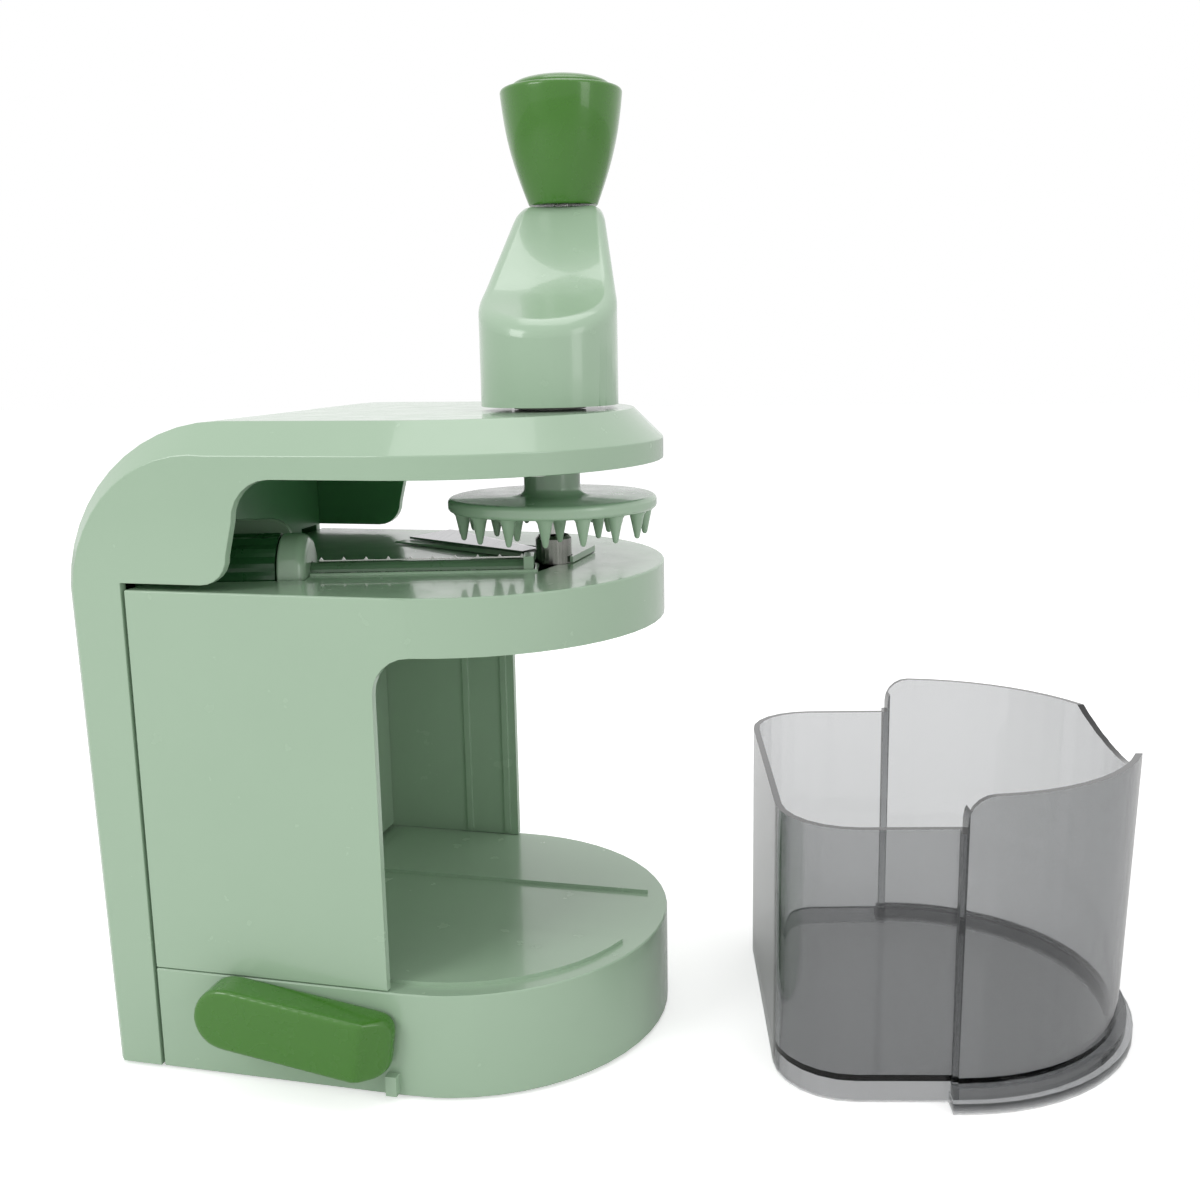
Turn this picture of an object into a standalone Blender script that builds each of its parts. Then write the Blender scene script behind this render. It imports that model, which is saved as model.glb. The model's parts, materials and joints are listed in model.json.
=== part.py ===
"""Hand-cranked spiralizer with a lifting head, a blade selector and a catch container.

Metres, +Z up. The origin is on the bench under the centre of the half-round nose.
+X points to the nose and -Y to the side with the suction lever.
"""

import math

import bmesh
import bpy
from mathutils import Matrix, Vector

# Body plan: straight sides that end in a half-round nose
BODY_RADIUS = 0.0650
BODY_REAR = 0.0785
WALL = 0.0026
SEAM = 0.0003
RUNNING_GAP = 0.0003
NOSE_STEPS = 28
ROUND_STEPS = 28
SMALL_STEPS = 12
PIN_STEPS = 16

# Base
BASE_LIFT = 0.0010
BASE_TOP = 0.0332
EDGE_ROUND = 0.0010
PAD_RISE = 0.0012
PAD_INSET = 0.0060
CHANNEL_WIDTH = 0.0380
BOTTOM_PLATE_UNDERSIDE = 0.0055
BOTTOM_PLATE_THICKNESS = 0.0020
BOSS_RADIUS = 0.0040
BOSS_INSET = 0.0130
BASE_SCREW_RADIUS = 0.0015
BASE_SCREW_LENGTH = 0.0140
SCREW_HEAD_RADIUS = 0.0028
SCREW_HEAD_HEIGHT = 0.0014
FOOT_RADIUS = 0.0050
FOOT_INSET = 0.0120
FOOT_TIP_RADIUS = 0.0045

# Suction pad and its lifting gear
CUP_INSET = 0.0150
CUP_THICKNESS = 0.0034
CUP_DOME_RADIUS = 0.0120
CUP_DOME_RISE = 0.0050
CLAMP_INSET = 0.0060
CLAMP_WIDTH = 0.0080
PLATE_HOLE = 0.0200
STUD_RADIUS = 0.0035
STUD_FOOT_RADIUS = 0.0090
STUD_FOOT_THICKNESS = 0.0016
YOKE_WIDTH = 0.0060
YOKE_MARGIN = 0.0020
CUP_LIFT = 0.0012

# Suction lever on the near side
LEVER_PIVOT_X = -0.0508
LEVER_PIVOT_Z = 0.0249
LEVER_HALF_HEIGHT = 0.0096
LEVER_REACH = 0.0500
LEVER_TILT = math.radians(8.0)
LEVER_THROW = math.radians(95.0)
LEVER_THICKNESS = 0.0112
LEVER_GAP = 0.0004
LEVER_NOSE_ROUND = 0.0050
LEVER_EDGE_ROUND = 0.0016
LEVER_NOSE_RUN = 0.0101
LEVER_NOSE_DEPTH = 0.0090
LEVER_SOCKET_DEPTH = 0.0080
AXLE_RADIUS = 0.0025
CAM_RADIUS = 0.0034
SADDLE_THICKNESS = 0.0060
SADDLE_MARGIN = 0.0030
STOP_WIDTH = 0.0034
STOP_DEPTH = 0.0028
STOP_HEIGHT = 0.0062

# Housing, bay and deck
BAY_HEIGHT = 0.0993
BAY_FRONT = 0.0035
BAY_REAR = 0.0540
BAY_CORNER = 0.0110
BAY_RIB_PLACES = (0.0224, 0.0075)
BAY_RIB_WIDTH = 0.0022
BAY_RIB_RISE = 0.0008
DECK_DEPTH = 0.0168
UNDERPLATE_THICKNESS = 0.0020
BACK_PANEL_THICKNESS = 0.0020
BACK_PANEL_RISE = 0.0010
BACK_PANEL_HEIGHT = 0.0430
BACK_PANEL_MARGIN = 0.0140

# Coring tube under the crank
TUBE_INSET = 0.0339
TUBE_RADIUS = 0.0056
TUBE_BORE = 0.0046
TUBE_RISE = 0.0087
TUBE_TAIL = 0.0045
NUT_RADIUS = 0.0100
NUT_HEIGHT = 0.0034

# Fixed blade, in a frame that starts beside the tube and runs along the edge
BLADE_SETBACK = 0.0061
BLADE_SIDE = 0.0070
BLADE_DIRECTION = math.radians(138.4)
BLADE_LENGTH = 0.0600
BLADE_INNER_WIDTH = 0.0065
BLADE_OUTER_WIDTH = 0.0170
BLADE_THICKNESS = 0.0007
BLADE_OVERHANG = 0.0012
BLADE_EDGE = 0.00014
BLADE_SCREW_INSET = 0.0045
BLADE_SCREW_SHARES = (0.25, 0.75)
RAMP_RISE = 0.0019
RAMP_FALL = 0.068
RAMP_FACE = 0.0015
RAMP_OUTER_DEPTH = 0.0226
RAMP_TUBE_CORNER = (-0.0046, 0.0032)
RAMP_NOSE_CORNER = (-0.0155, -0.0018)
RAMP_FAR_CORNER = (-0.0010, -0.0200)
SLOT_WIDTH = 0.0200
SLOT_MARGIN = 0.0010
BLADE_SCREW_RADIUS = 0.0013
BLADE_SCREW_HEAD = 0.0022

# Turning comb bar and its knob, in a frame that slants across the deck
SELECTOR_Y = -0.0200
SELECTOR_SLANT = math.radians(14.6)
COMB_RISE = 0.0002
COMB_ROD_RADIUS = 0.0030
COMB_TIP_RADIUS = 0.0044
COMB_THICKNESS = 0.0008
COMB_BACK_HEIGHT = 0.0003
COMB_FIRST_TOOTH = -0.0351
COMB_SPAN = 0.0609
COMB_PITCHES = (0.00676, 0.0045, 0.0030)
TOOTH_WIDTH = 0.0012
KNOB_REAR = 0.0742
KNOB_LENGTH = 0.0275
SELECTOR_KNOB_RADIUS = 0.0122
KNOB_FLUTES = 16
KNOB_FLUTE_DEPTH = 0.0006
KNOB_END_WALL = 0.0027
COLLAR_RADIUS = 0.0120
COLLAR_LENGTH = 0.0083
COLLAR_GAP = 0.0004
COLLAR_ROUND = 0.0020
COLLAR_FOOT_HALF_WIDTH = 0.0046
COLLAR_FOOT_LENGTH = 0.0054
POCKET_HALF_WIDTH = 0.0134
POCKET_CLEARANCE = 0.0010
TRAY_WALL = 0.0012
TROUGH_HALF_WIDTH = 0.0050
TROUGH_CLEARANCE = 0.0006
TROUGH_RIM = 0.0007
HOOD_THICKNESS = 0.0024
HOOD_RISE = 0.0149
HOOD_ROUND = 0.0060
BEARING_LENGTH = 0.0030
BEARING_RADIUS = 0.0042

# Lift head: a C-shaped shell that slides on two rods behind the housing
HEAD_REAR = 0.0970
HEAD_REAR_LEAN = 0.0025
HEAD_FOOT = 0.0010
HEAD_WALL = 0.0030
REAR_ARC = 0.0470
REAR_ARC_STEPS = 12
TOP_CHAMFER = 0.0090
REAR_CHAMFER = 0.0020
STRIP_GAP = 0.0010
CHEEK_GAP = 0.0020
CHEEK_REACH = 0.0430
CHEEK_TOP_ROUND = 0.0120
CHEEK_FOOT_ROUND = 0.0085
CHEEK_STEP = 0.0024
WORK_HEIGHT = 0.0319
ARM_DEPTH = 0.0155
COVER_THICKNESS = 0.0020
COVER_ROUND = 0.0100
COVER_REAR = 0.0780
COVER_SCREW_RADIUS = 0.0013
COVER_POST_RADIUS = 0.0035
COVER_SCREW_LENGTH = 0.0060
COVER_POST_INSET = 0.0170
COVER_POST_ANGLE = math.radians(42.0)
COVER_POST_SIDE_INSET = 0.0247
COVER_POST_REAR = 0.0292

# Column, rods and shoes
ROD_Y = 0.0420
ROD_RADIUS = 0.0025
COLUMN_HALF_WIDTH = 0.0520
COLUMN_FRONT = 0.0806
COLUMN_PLATE = 0.0026
COLUMN_FOOT = 0.0060
COLUMN_RISE = 0.0150
BRACKET_HEIGHT = 0.0080
BRACKET_HALF_WIDTH = 0.0080
BUFFER_HEIGHT = 0.0024
BUFFER_WALL = 0.0012
SHOE_HEIGHT = 0.0400
SHOE_HALF_WIDTH = 0.0075

# Crank, spindle and food holder
SPINDLE_RADIUS = 0.0040
BUSH_RADIUS = 0.0095
WASHER_THICKNESS = 0.0007
WASHER_RADIUS = 0.0110
HUB_RADIUS = 0.0210
HUB_FRONT_HEIGHT = 0.0245
HUB_SIDE_HEIGHT = 0.0332
CRANK_OFFSET = 0.0506
CRANK_HEADING = math.radians(99.16)
CRANK_END_RADIUS = 0.0127
CRANK_SEAT_HEIGHT = 0.0627
CRANK_SEAT_RUN = 0.0130
CRANK_END_DEPTH = 0.0170
CRANK_ELBOW_HEIGHT = 0.0400
CRANK_WALL = 0.0025
CRANK_SLOPE_SHARE = 1.25
CRANK_BOSS_RADIUS = 0.0080
CRANK_BROW_DROP = 0.0020
CRANK_BROW_RUN = 0.0078
CRANK_ELBOW_RUN = 0.0044
CRANK_HEEL_HEIGHT = 0.0048
CRANK_HEEL_MARGIN = 0.0015
CRANK_HEEL_LEAN = 0.0005
CRANK_COVER_THICKNESS = 0.0020
CRANK_COVER_TAB = 0.0040
SPINDLE_IN_CRANK = 0.0170
CROSS_PIN_RADIUS = 0.0013
DRIVE_PIN_HEIGHT = 0.0080
HOLDER_RADIUS = 0.0323
HOLDER_THICKNESS = 0.0042
HOLDER_DROP = 0.0107
HOLDER_EDGE = 0.0007
NECK_RADIUS = 0.0087
NECK_FLARE = 0.0033
TOOTH_LENGTH = 0.0083
TOOTH_ROOT = 0.0027
TOOTH_TIP = 0.0007
TOOTH_SIDES = 8
TOOTH_RINGS = ((0.0285, 16), (0.0175, 8))
HOLDER_PIN_DROP = 0.0051
CENTRE_PIN_RADIUS = 0.0035
CENTRE_PIN_REACH = 0.0112
CENTRE_PIN_SEAT = 0.0016

# Crank knob
KNOB_GAP = 0.0006
KNOB_FOOT_RADIUS = 0.0114
KNOB_TOP_RADIUS = 0.0203
KNOB_HEIGHT = 0.0370
KNOB_SWELL = 0.0016
KNOB_CAP_RADIUS = 0.0170
KNOB_CAP_RISE = 0.0042
KNOB_CAP_SEAT = 0.0020
KNOB_PIN_RADIUS = 0.0030
KNOB_PIN_ROOT = 0.0120
KNOB_PIN_HEAD_RADIUS = 0.0048
KNOB_PIN_HEAD_HEIGHT = 0.0020
KNOB_BORE_HEIGHT = 0.0230
KNOB_WELL_RADIUS = 0.0125

# Catch container, standing beside the machine
CONTAINER_X = 0.1455
CONTAINER_Y = 0.0260
CONTAINER_YAW = math.radians(12.0)
CONTAINER_WALL = 0.0020
CONTAINER_SIDE_GAP = 0.0015
CONTAINER_END_GAP = 0.0015
CONTAINER_CORNER = 0.0220
CONTAINER_FRONT_GAP = 0.0005
CONTAINER_DRAFT = 0.0030
CONTAINER_HEIGHT = 0.0940
CONTAINER_REAR_HEIGHT = 0.0830
CONTAINER_LIP_ROUND = 0.0080
CONTAINER_FLOOR_RISE = 0.0060
CONTAINER_TIER = 0.0035
CONTAINER_FLANGE = 0.0020
SCOOP_HALF_WIDTH = 0.0270
SCOOP_DEPTH = 0.0110

# Places that follow from the sizes above
HOUSING_BOTTOM = BASE_TOP + SEAM
CUP_RADIUS = BODY_RADIUS - CUP_INSET
CLAMP_OUTER = CUP_RADIUS - CLAMP_INSET
TUBE_X = BODY_RADIUS - TUBE_INSET
BLADE_START = (TUBE_X - BLADE_SETBACK, BLADE_SIDE)
BAY_CEILING = HOUSING_BOTTOM + BAY_HEIGHT
DECK_TOP = BAY_CEILING + DECK_DEPTH
DECK_SKIN_UNDERSIDE = DECK_TOP - WALL
BAY_HALF_WIDTH = BODY_RADIUS - WALL
COMB_Z = DECK_TOP + COMB_RISE
CHEEK_FOOT = DECK_TOP + CHEEK_GAP
ARM_UNDERSIDE = DECK_TOP + WORK_HEIGHT
ARM_TOP = ARM_UNDERSIDE + ARM_DEPTH
ARM_ROOF = ARM_TOP - HEAD_WALL
CRANK_FOOT = ARM_TOP + 2 * RUNNING_GAP + WASHER_THICKNESS
CRANK_SEAT = CRANK_FOOT + CRANK_SEAT_HEIGHT
HOLDER_TOP = ARM_UNDERSIDE - HOLDER_DROP
HOLDER_UNDERSIDE = HOLDER_TOP - HOLDER_THICKNESS
KNOB_FOOT = CRANK_SEAT + KNOB_GAP
KNOB_RIM = KNOB_FOOT + KNOB_HEIGHT
CRANK_END_X = TUBE_X + CRANK_OFFSET * math.cos(CRANK_HEADING)
CRANK_END_Y = CRANK_OFFSET * math.sin(CRANK_HEADING)
STRIP_FRONT = BODY_REAR + STRIP_GAP
COLUMN_REAR = COLUMN_FRONT + COLUMN_PLATE
COLUMN_TOP = DECK_TOP + COLUMN_RISE
HEAD_REAR_FOOT = HEAD_REAR - HEAD_REAR_LEAN
ROD_X = (COLUMN_REAR + HEAD_REAR_FOOT - HEAD_WALL) / 2
BEYOND = 0.0300
OVERCUT = 0.0020

SAGE = (0.430, 0.560, 0.430)
SAGE_DARK = (0.300, 0.420, 0.310)
LEAF = (0.115, 0.340, 0.070)
PINE = (0.030, 0.135, 0.045)
STEEL = (0.560, 0.560, 0.540)
RUBBER = (0.050, 0.055, 0.050)
SMOKE = (0.330, 0.340, 0.330)
BRONZE = (0.550, 0.550, 0.500)
NYLON = (0.600, 0.600, 0.560)


def clear_scene():
    """Remove every object that the opened file holds."""
    for old in list(bpy.data.objects):
        bpy.data.objects.remove(old, do_unlink=True)


def new_collection(name):
    """A collection linked to the scene."""
    collection = bpy.data.collections.new(name)
    bpy.context.scene.collection.children.link(collection)
    return collection


def material(name, colour, roughness, metallic=0.0, alpha=1.0):
    """A plain Principled material."""
    made = bpy.data.materials.new(name)
    made.use_nodes = True
    shader = made.node_tree.nodes["Principled BSDF"]
    shader.inputs["Base Color"].default_value = (*colour, 1.0)
    shader.inputs["Roughness"].default_value = roughness
    shader.inputs["Metallic"].default_value = metallic
    shader.inputs["Alpha"].default_value = alpha
    made.diffuse_color = (*colour, alpha)
    return made


def plastic(name, colour):
    return material(name, colour, 0.30)


def metal(name):
    return material(name, STEEL, 0.28, metallic=1.0)


def arc(centre, radius, start, end, steps):
    """Points on an arc, both ends included."""
    points = []
    for index in range(steps + 1):
        angle = start + (end - start) * index / steps
        points.append((centre[0] + radius * math.cos(angle), centre[1] + radius * math.sin(angle)))
    return points


def ring(radius, steps, start=0.0):
    """Points of a closed circle."""
    return [(radius * math.cos(start + math.tau * i / steps),
             radius * math.sin(start + math.tau * i / steps))
            for i in range(steps)]


def moved(points, dx, dy):
    return [(x + dx, y + dy) for x, y in points]


def body_plan(inset=0.0, rear=BODY_REAR):
    """The body seen from above, set in by a distance."""
    radius = BODY_RADIUS - inset
    nose = arc((0.0, 0.0), radius, -math.pi / 2, math.pi / 2, NOSE_STEPS)
    return nose + [(inset - rear, radius), (inset - rear, -radius)]


def finish_mesh(name, bm, finish, smooth=30.0):
    """Turn a bmesh into an object in the model's collection."""
    bmesh.ops.recalc_face_normals(bm, faces=bm.faces)
    mesh = bpy.data.meshes.new(name)
    bm.to_mesh(mesh)
    bm.free()
    mesh.shade_smooth()
    mesh.set_sharp_from_angle(angle=math.radians(smooth))
    if finish:
        mesh.materials.append(finish)
    obj = bpy.data.objects.new(name, mesh)
    PARTS.objects.link(obj)
    return obj


def box(name, low, high, finish=None):
    """A block between two corners."""
    bm = bmesh.new()
    size = [b - a for a, b in zip(low, high)]
    centre = [(a + b) / 2 for a, b in zip(low, high)]
    bmesh.ops.create_cube(bm, size=1.0)
    bmesh.ops.scale(bm, vec=size, verts=bm.verts)
    bmesh.ops.translate(bm, vec=centre, verts=bm.verts)
    return finish_mesh(name, bm, finish)


AXIS_TURN = {
    "X": Matrix(((0, 0, 1, 0), (1, 0, 0, 0), (0, 1, 0, 0), (0, 0, 0, 1))),
    "Y": Matrix(((1, 0, 0, 0), (0, 0, -1, 0), (0, 1, 0, 0), (0, 0, 0, 1))),
    "Z": Matrix.Identity(4),
}


def add_cone(bm, centre, length, radius, end_radius, axis, steps):
    """Add a cylinder or cone that starts at a point and runs along an axis."""
    turn = AXIS_TURN[axis]
    if axis == "Y":
        turn = Matrix.Rotation(math.pi, 4, "X") @ turn
    place = Matrix.Translation(centre) @ turn @ Matrix.Translation((0, 0, length / 2))
    bmesh.ops.create_cone(bm, cap_ends=True, segments=steps, radius1=radius, radius2=end_radius,
                          depth=length, matrix=place)


def cylinder(name, centre, length, radius, axis="Z", finish=None, steps=ROUND_STEPS, end_radius=None):
    """A cylinder or cone that starts at a point and runs along an axis."""
    bm = bmesh.new()
    add_cone(bm, centre, length, radius, radius if end_radius is None else end_radius, axis, steps)
    return finish_mesh(name, bm, finish)


def turned(name, profile, centre, finish=None, steps=ROUND_STEPS, closed=False):
    """A shape turned about a vertical axis; the profile runs down its outer side."""
    mesh = bpy.data.meshes.new(name)
    edges = [(i, i + 1) for i in range(len(profile) - 1)]
    if closed:
        edges.append((len(profile) - 1, 0))
    mesh.from_pydata([(r, 0.0, z) for r, z in profile], edges, [])
    if finish:
        mesh.materials.append(finish)
    obj = bpy.data.objects.new(name, mesh)
    PARTS.objects.link(obj)
    obj.location = centre
    screw = obj.modifiers.new("turn", "SCREW")
    screw.axis = "Z"
    screw.steps = steps
    screw.render_steps = steps
    screw.use_merge_vertices = True
    screw.merge_threshold = 0.00001
    screw.use_smooth_shade = True
    return obj


def plate(name, outline, low, high, axis="Z", finish=None, place=None):
    """A flat outline carried from low to high along an axis.

    The outline is (x, y) for Z, (x, z) for Y and (y, z) for X.
    """
    curve = bpy.data.curves.new(name, "CURVE")
    curve.dimensions = "2D"
    curve.fill_mode = "BOTH"
    curve.extrude = (high - low) / 2
    spline = curve.splines.new("POLY")
    spline.points.add(len(outline) - 1)
    for point, (u, v) in zip(spline.points, outline):
        point.co = (u, v, 0.0, 1.0)
    spline.use_cyclic_u = True
    guide = bpy.data.objects.new(name + "_outline", curve)
    PARTS.objects.link(guide)
    middle = (low + high) / 2
    shift = Matrix.Translation({"X": (middle, 0, 0), "Y": (0, middle, 0), "Z": (0, 0, middle)}[axis])
    guide.matrix_world = (place or Matrix.Identity(4)) @ shift @ AXIS_TURN[axis]
    bpy.context.view_layer.update()
    evaluated = guide.evaluated_get(bpy.context.evaluated_depsgraph_get())
    mesh = bpy.data.meshes.new_from_object(evaluated)
    bm = bmesh.new()
    bm.from_mesh(mesh)
    bpy.data.meshes.remove(mesh)
    bmesh.ops.remove_doubles(bm, verts=bm.verts, dist=0.000001)
    bmesh.ops.transform(bm, matrix=guide.matrix_world, verts=bm.verts)
    bpy.data.objects.remove(guide, do_unlink=True)
    bpy.data.curves.remove(curve)
    return finish_mesh(name, bm, finish)


def loft(name, rings, finish=None):
    """A closed solid through rings of equally many points, with its ends filled."""
    bm = bmesh.new()
    layers = []
    for points in rings:
        layers.append([bm.verts.new(point) for point in points])
    for lower, upper in zip(layers, layers[1:]):
        for i in range(len(lower)):
            j = (i + 1) % len(lower)
            bm.faces.new((lower[i], lower[j], upper[j], upper[i]))
    bm.faces.new(reversed(layers[0]))
    bm.faces.new(layers[-1])
    bmesh.ops.remove_doubles(bm, verts=bm.verts, dist=0.000001)
    bmesh.ops.dissolve_degenerate(bm, edges=bm.edges, dist=0.000001)
    bmesh.ops.triangulate(bm, faces=[f for f in bm.faces if len(f.verts) == 4])
    return finish_mesh(name, bm, finish)


def combine(obj, tool, operation):
    """Cut, join or intersect a piece with a tool that isn't part of the model."""
    change = obj.modifiers.new(operation.lower(), "BOOLEAN")
    change.operation = operation
    change.solver = "EXACT"
    change.object = tool
    for collection in list(tool.users_collection):
        collection.objects.unlink(tool)
    CUTTERS.objects.link(tool)
    tool.hide_render = True
    tool.display_type = "WIRE"
    return obj


def cut(obj, tool):
    return combine(obj, tool, "DIFFERENCE")


def join(obj, tool):
    return combine(obj, tool, "UNION")


def keep_inside(obj, tool):
    return combine(obj, tool, "INTERSECT")


def settle(obj, place):
    """Make the piece's cuts final, then put it in its place."""
    bpy.context.view_layer.update()
    evaluated = obj.evaluated_get(bpy.context.evaluated_depsgraph_get())
    final = bpy.data.meshes.new_from_object(evaluated)
    final.name = obj.name
    for change in list(obj.modifiers):
        if change.type == "BOOLEAN":
            bpy.data.objects.remove(change.object, do_unlink=True)
    obj.modifiers.clear()
    obj.data = final
    final.transform(place)
    return obj


def round_edges(obj, width, segments=1, angle=50.0):
    """Bevel the edges that are sharper than an angle."""
    bevel = obj.modifiers.new("edges", "BEVEL")
    bevel.width = width
    bevel.segments = segments
    bevel.limit_method = "ANGLE"
    bevel.angle_limit = math.radians(angle)
    return obj


def pivot(name, location):
    """An empty on a joint's axis that carries one moving group."""
    empty = bpy.data.objects.new(name, None)
    empty.location = location
    PARTS.objects.link(empty)
    bpy.context.view_layer.update()
    return empty


def carry(parent, *children):
    """Parent pieces without moving them."""
    for child in children:
        child.parent = parent
        child.matrix_parent_inverse = parent.matrix_world.inverted()


def make_screw(name, place, head_low, shank_radius, shank_length, head_radius=SCREW_HEAD_RADIUS,
               upward=True):
    """A screw with a round head and a plain shank that runs up or down from it."""
    way = 1.0 if upward else -1.0
    neck = way * SCREW_HEAD_HEIGHT
    tip = neck + way * shank_length
    profile = [(0.0, 0.0), (head_radius, 0.0), (head_radius, neck), (shank_radius, neck),
               (shank_radius, tip), (0.0, tip)]
    if upward:
        profile.reverse()
    return turned(name, profile, (*place, head_low), metal(name), steps=SMALL_STEPS)


def base_boss_places():
    """Where the screws of the bottom plate go, seen from above."""
    side = BODY_RADIUS - BOSS_INSET
    front = math.sqrt((BODY_RADIUS - BOSS_INSET) ** 2 - (side / 2) ** 2)
    rear = -BODY_REAR + BOSS_INSET + FOOT_RADIUS
    return [(front, side / 2), (front, -side / 2), (rear, side / 2), (rear, -side / 2)]


def rear_foot_places():
    side = BODY_RADIUS - FOOT_INSET
    rear = -BODY_REAR + FOOT_INSET
    return [(rear, side), (rear, -side)]


def make_base_housing():
    """The hollow foot of the body, with two raised pads as the floor of the bay."""
    base = plate("base_housing", body_plan(), BASE_LIFT, BASE_TOP, finish=plastic("base_housing", SAGE))
    round_edges(base, EDGE_ROUND)
    cut(base, plate("base_cavity", body_plan(WALL), -OVERCUT, BASE_TOP - WALL))
    pads = plate("base_pads", body_plan(PAD_INSET, rear=BAY_REAR), BASE_TOP - WALL / 2, BASE_TOP + PAD_RISE)
    half = CHANNEL_WIDTH / 2
    cut(pads, box("base_channel", (-BODY_REAR, -half, 0.0), (BODY_RADIUS, half, BASE_TOP + BEYOND)))
    join(base, pads)
    posts = bmesh.new()
    post_low = BOTTOM_PLATE_UNDERSIDE + BOTTOM_PLATE_THICKNESS + SEAM
    for x, y in base_boss_places():
        add_cone(posts, (x, y, post_low), BASE_TOP - WALL / 2 - post_low, BOSS_RADIUS, BOSS_RADIUS, "Z",
                 SMALL_STEPS)
    join(base, finish_mesh("base_posts", posts, None))
    bores = bmesh.new()
    for x, y in base_boss_places():
        add_cone(bores, (x, y, -OVERCUT), BASE_TOP - 2 * WALL, BASE_SCREW_RADIUS + RUNNING_GAP,
                 BASE_SCREW_RADIUS + RUNNING_GAP, "Z", SMALL_STEPS)
    cut(base, finish_mesh("base_bores", bores, None))
    wall_hole = (LEVER_PIVOT_X, -BODY_RADIUS - OVERCUT, LEVER_PIVOT_Z)
    cut(base, cylinder("axle_hole", wall_hole, WALL + 2 * OVERCUT, AXLE_RADIUS + RUNNING_GAP, "Y"))
    stop_x = lever_tip_x() + RUNNING_GAP
    stop_low = BASE_LIFT + EDGE_ROUND
    join(base, box("lever_stop", (stop_x - STOP_WIDTH, -BODY_RADIUS - STOP_DEPTH, stop_low),
                   (stop_x, -BODY_RADIUS + WALL / 2, stop_low + STOP_HEIGHT)))
    return base


def lever_tip_x():
    """The lever's far end at rest."""
    return LEVER_PIVOT_X + LEVER_REACH * math.cos(LEVER_TILT)


def make_base_bottom_plate():
    low = BOTTOM_PLATE_UNDERSIDE
    high = low + BOTTOM_PLATE_THICKNESS
    bottom = plate("base_bottom_plate", body_plan(WALL + SEAM), low, high,
                   finish=plastic("base_bottom_plate", SAGE_DARK))
    holes = bmesh.new()
    add_cone(holes, (0.0, 0.0, low - OVERCUT), BEYOND, PLATE_HOLE, PLATE_HOLE, "Z", ROUND_STEPS)
    hole = BASE_SCREW_RADIUS + RUNNING_GAP
    for x, y in base_boss_places():
        add_cone(holes, (x, y, low - OVERCUT), BEYOND, hole, hole, "Z", SMALL_STEPS)
    cut(bottom, finish_mesh("bottom_plate_holes", holes, None))
    return bottom


def make_base_screws():
    head_low = BOTTOM_PLATE_UNDERSIDE - SEAM - SCREW_HEAD_HEIGHT
    for number, place in enumerate(base_boss_places(), start=1):
        make_screw(f"base_screw_{number}", place, head_low, BASE_SCREW_RADIUS, BASE_SCREW_LENGTH)


def make_rear_feet():
    """Two rubber feet under the rear corners."""
    for side, (x, y) in zip(("left", "right"), rear_foot_places()):
        name = f"rear_foot_{side}"
        cylinder(name, (x, y, 0.0), BOTTOM_PLATE_UNDERSIDE - SEAM, FOOT_RADIUS,
                 finish=material(name, RUBBER, 0.8),
                 steps=PIN_STEPS, end_radius=FOOT_TIP_RADIUS)


def make_suction_pad():
    """The rubber pad under the base, flat on the bench, with a dome that the stud lifts."""
    dome = CUP_THICKNESS + CUP_DOME_RISE
    profile = [(0.0, dome), (CUP_DOME_RADIUS, dome), (CUP_DOME_RADIUS + CUP_DOME_RISE / 2, CUP_THICKNESS),
               (CUP_RADIUS - CUP_THICKNESS, CUP_THICKNESS), (CUP_RADIUS, CUP_THICKNESS / 3),
               (CUP_RADIUS, 0.0),
               (0.0, 0.0)]
    return turned("suction_pad", profile, (0, 0, 0), material("suction_pad", RUBBER, 0.75),
                  steps=2 * NOSE_STEPS)


def make_pad_clamp_ring():
    low = CUP_THICKNESS + SEAM
    high = BOTTOM_PLATE_UNDERSIDE - SEAM
    inner = CLAMP_OUTER - CLAMP_WIDTH
    profile = [(CLAMP_OUTER, high), (CLAMP_OUTER, low), (inner, low), (inner, high)]
    return turned("pad_clamp_ring", profile, (0, 0, 0), plastic("pad_clamp_ring", SAGE_DARK), closed=True)


def make_pull_stud():
    """The stud on the pad's dome that the yoke pulls up."""
    foot_low = CUP_THICKNESS + CUP_DOME_RISE + SEAM
    foot_high = foot_low + STUD_FOOT_THICKNESS
    top = yoke_low() - SEAM
    profile = [(0.0, top), (STUD_RADIUS, top), (STUD_RADIUS, foot_high), (STUD_FOOT_RADIUS, foot_high),
               (STUD_FOOT_RADIUS, foot_low), (0.0, foot_low)]
    return turned("pull_stud", profile, (0, 0, 0), metal("pull_stud"), steps=PIN_STEPS)


def cam_throw():
    """How far the cam's centre stands off the lever's axis."""
    return CUP_LIFT / (2 * math.sin(LEVER_THROW / 2))


def cam_centre():
    """The cam's centre at rest, as (x, z)."""
    reach = cam_throw()
    half_throw = LEVER_THROW / 2
    return LEVER_PIVOT_X + reach * math.cos(half_throw), LEVER_PIVOT_Z - reach * math.sin(half_throw)


def cam_window():
    """Half height and half width of the yoke's window round the cam."""
    side_play = cam_throw() * (1 - math.cos(LEVER_THROW / 2))
    return CAM_RADIUS + RUNNING_GAP, CAM_RADIUS + side_play + RUNNING_GAP


def yoke_low():
    """The yoke's underside at rest."""
    return cam_centre()[1] - cam_window()[0] - YOKE_MARGIN


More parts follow.
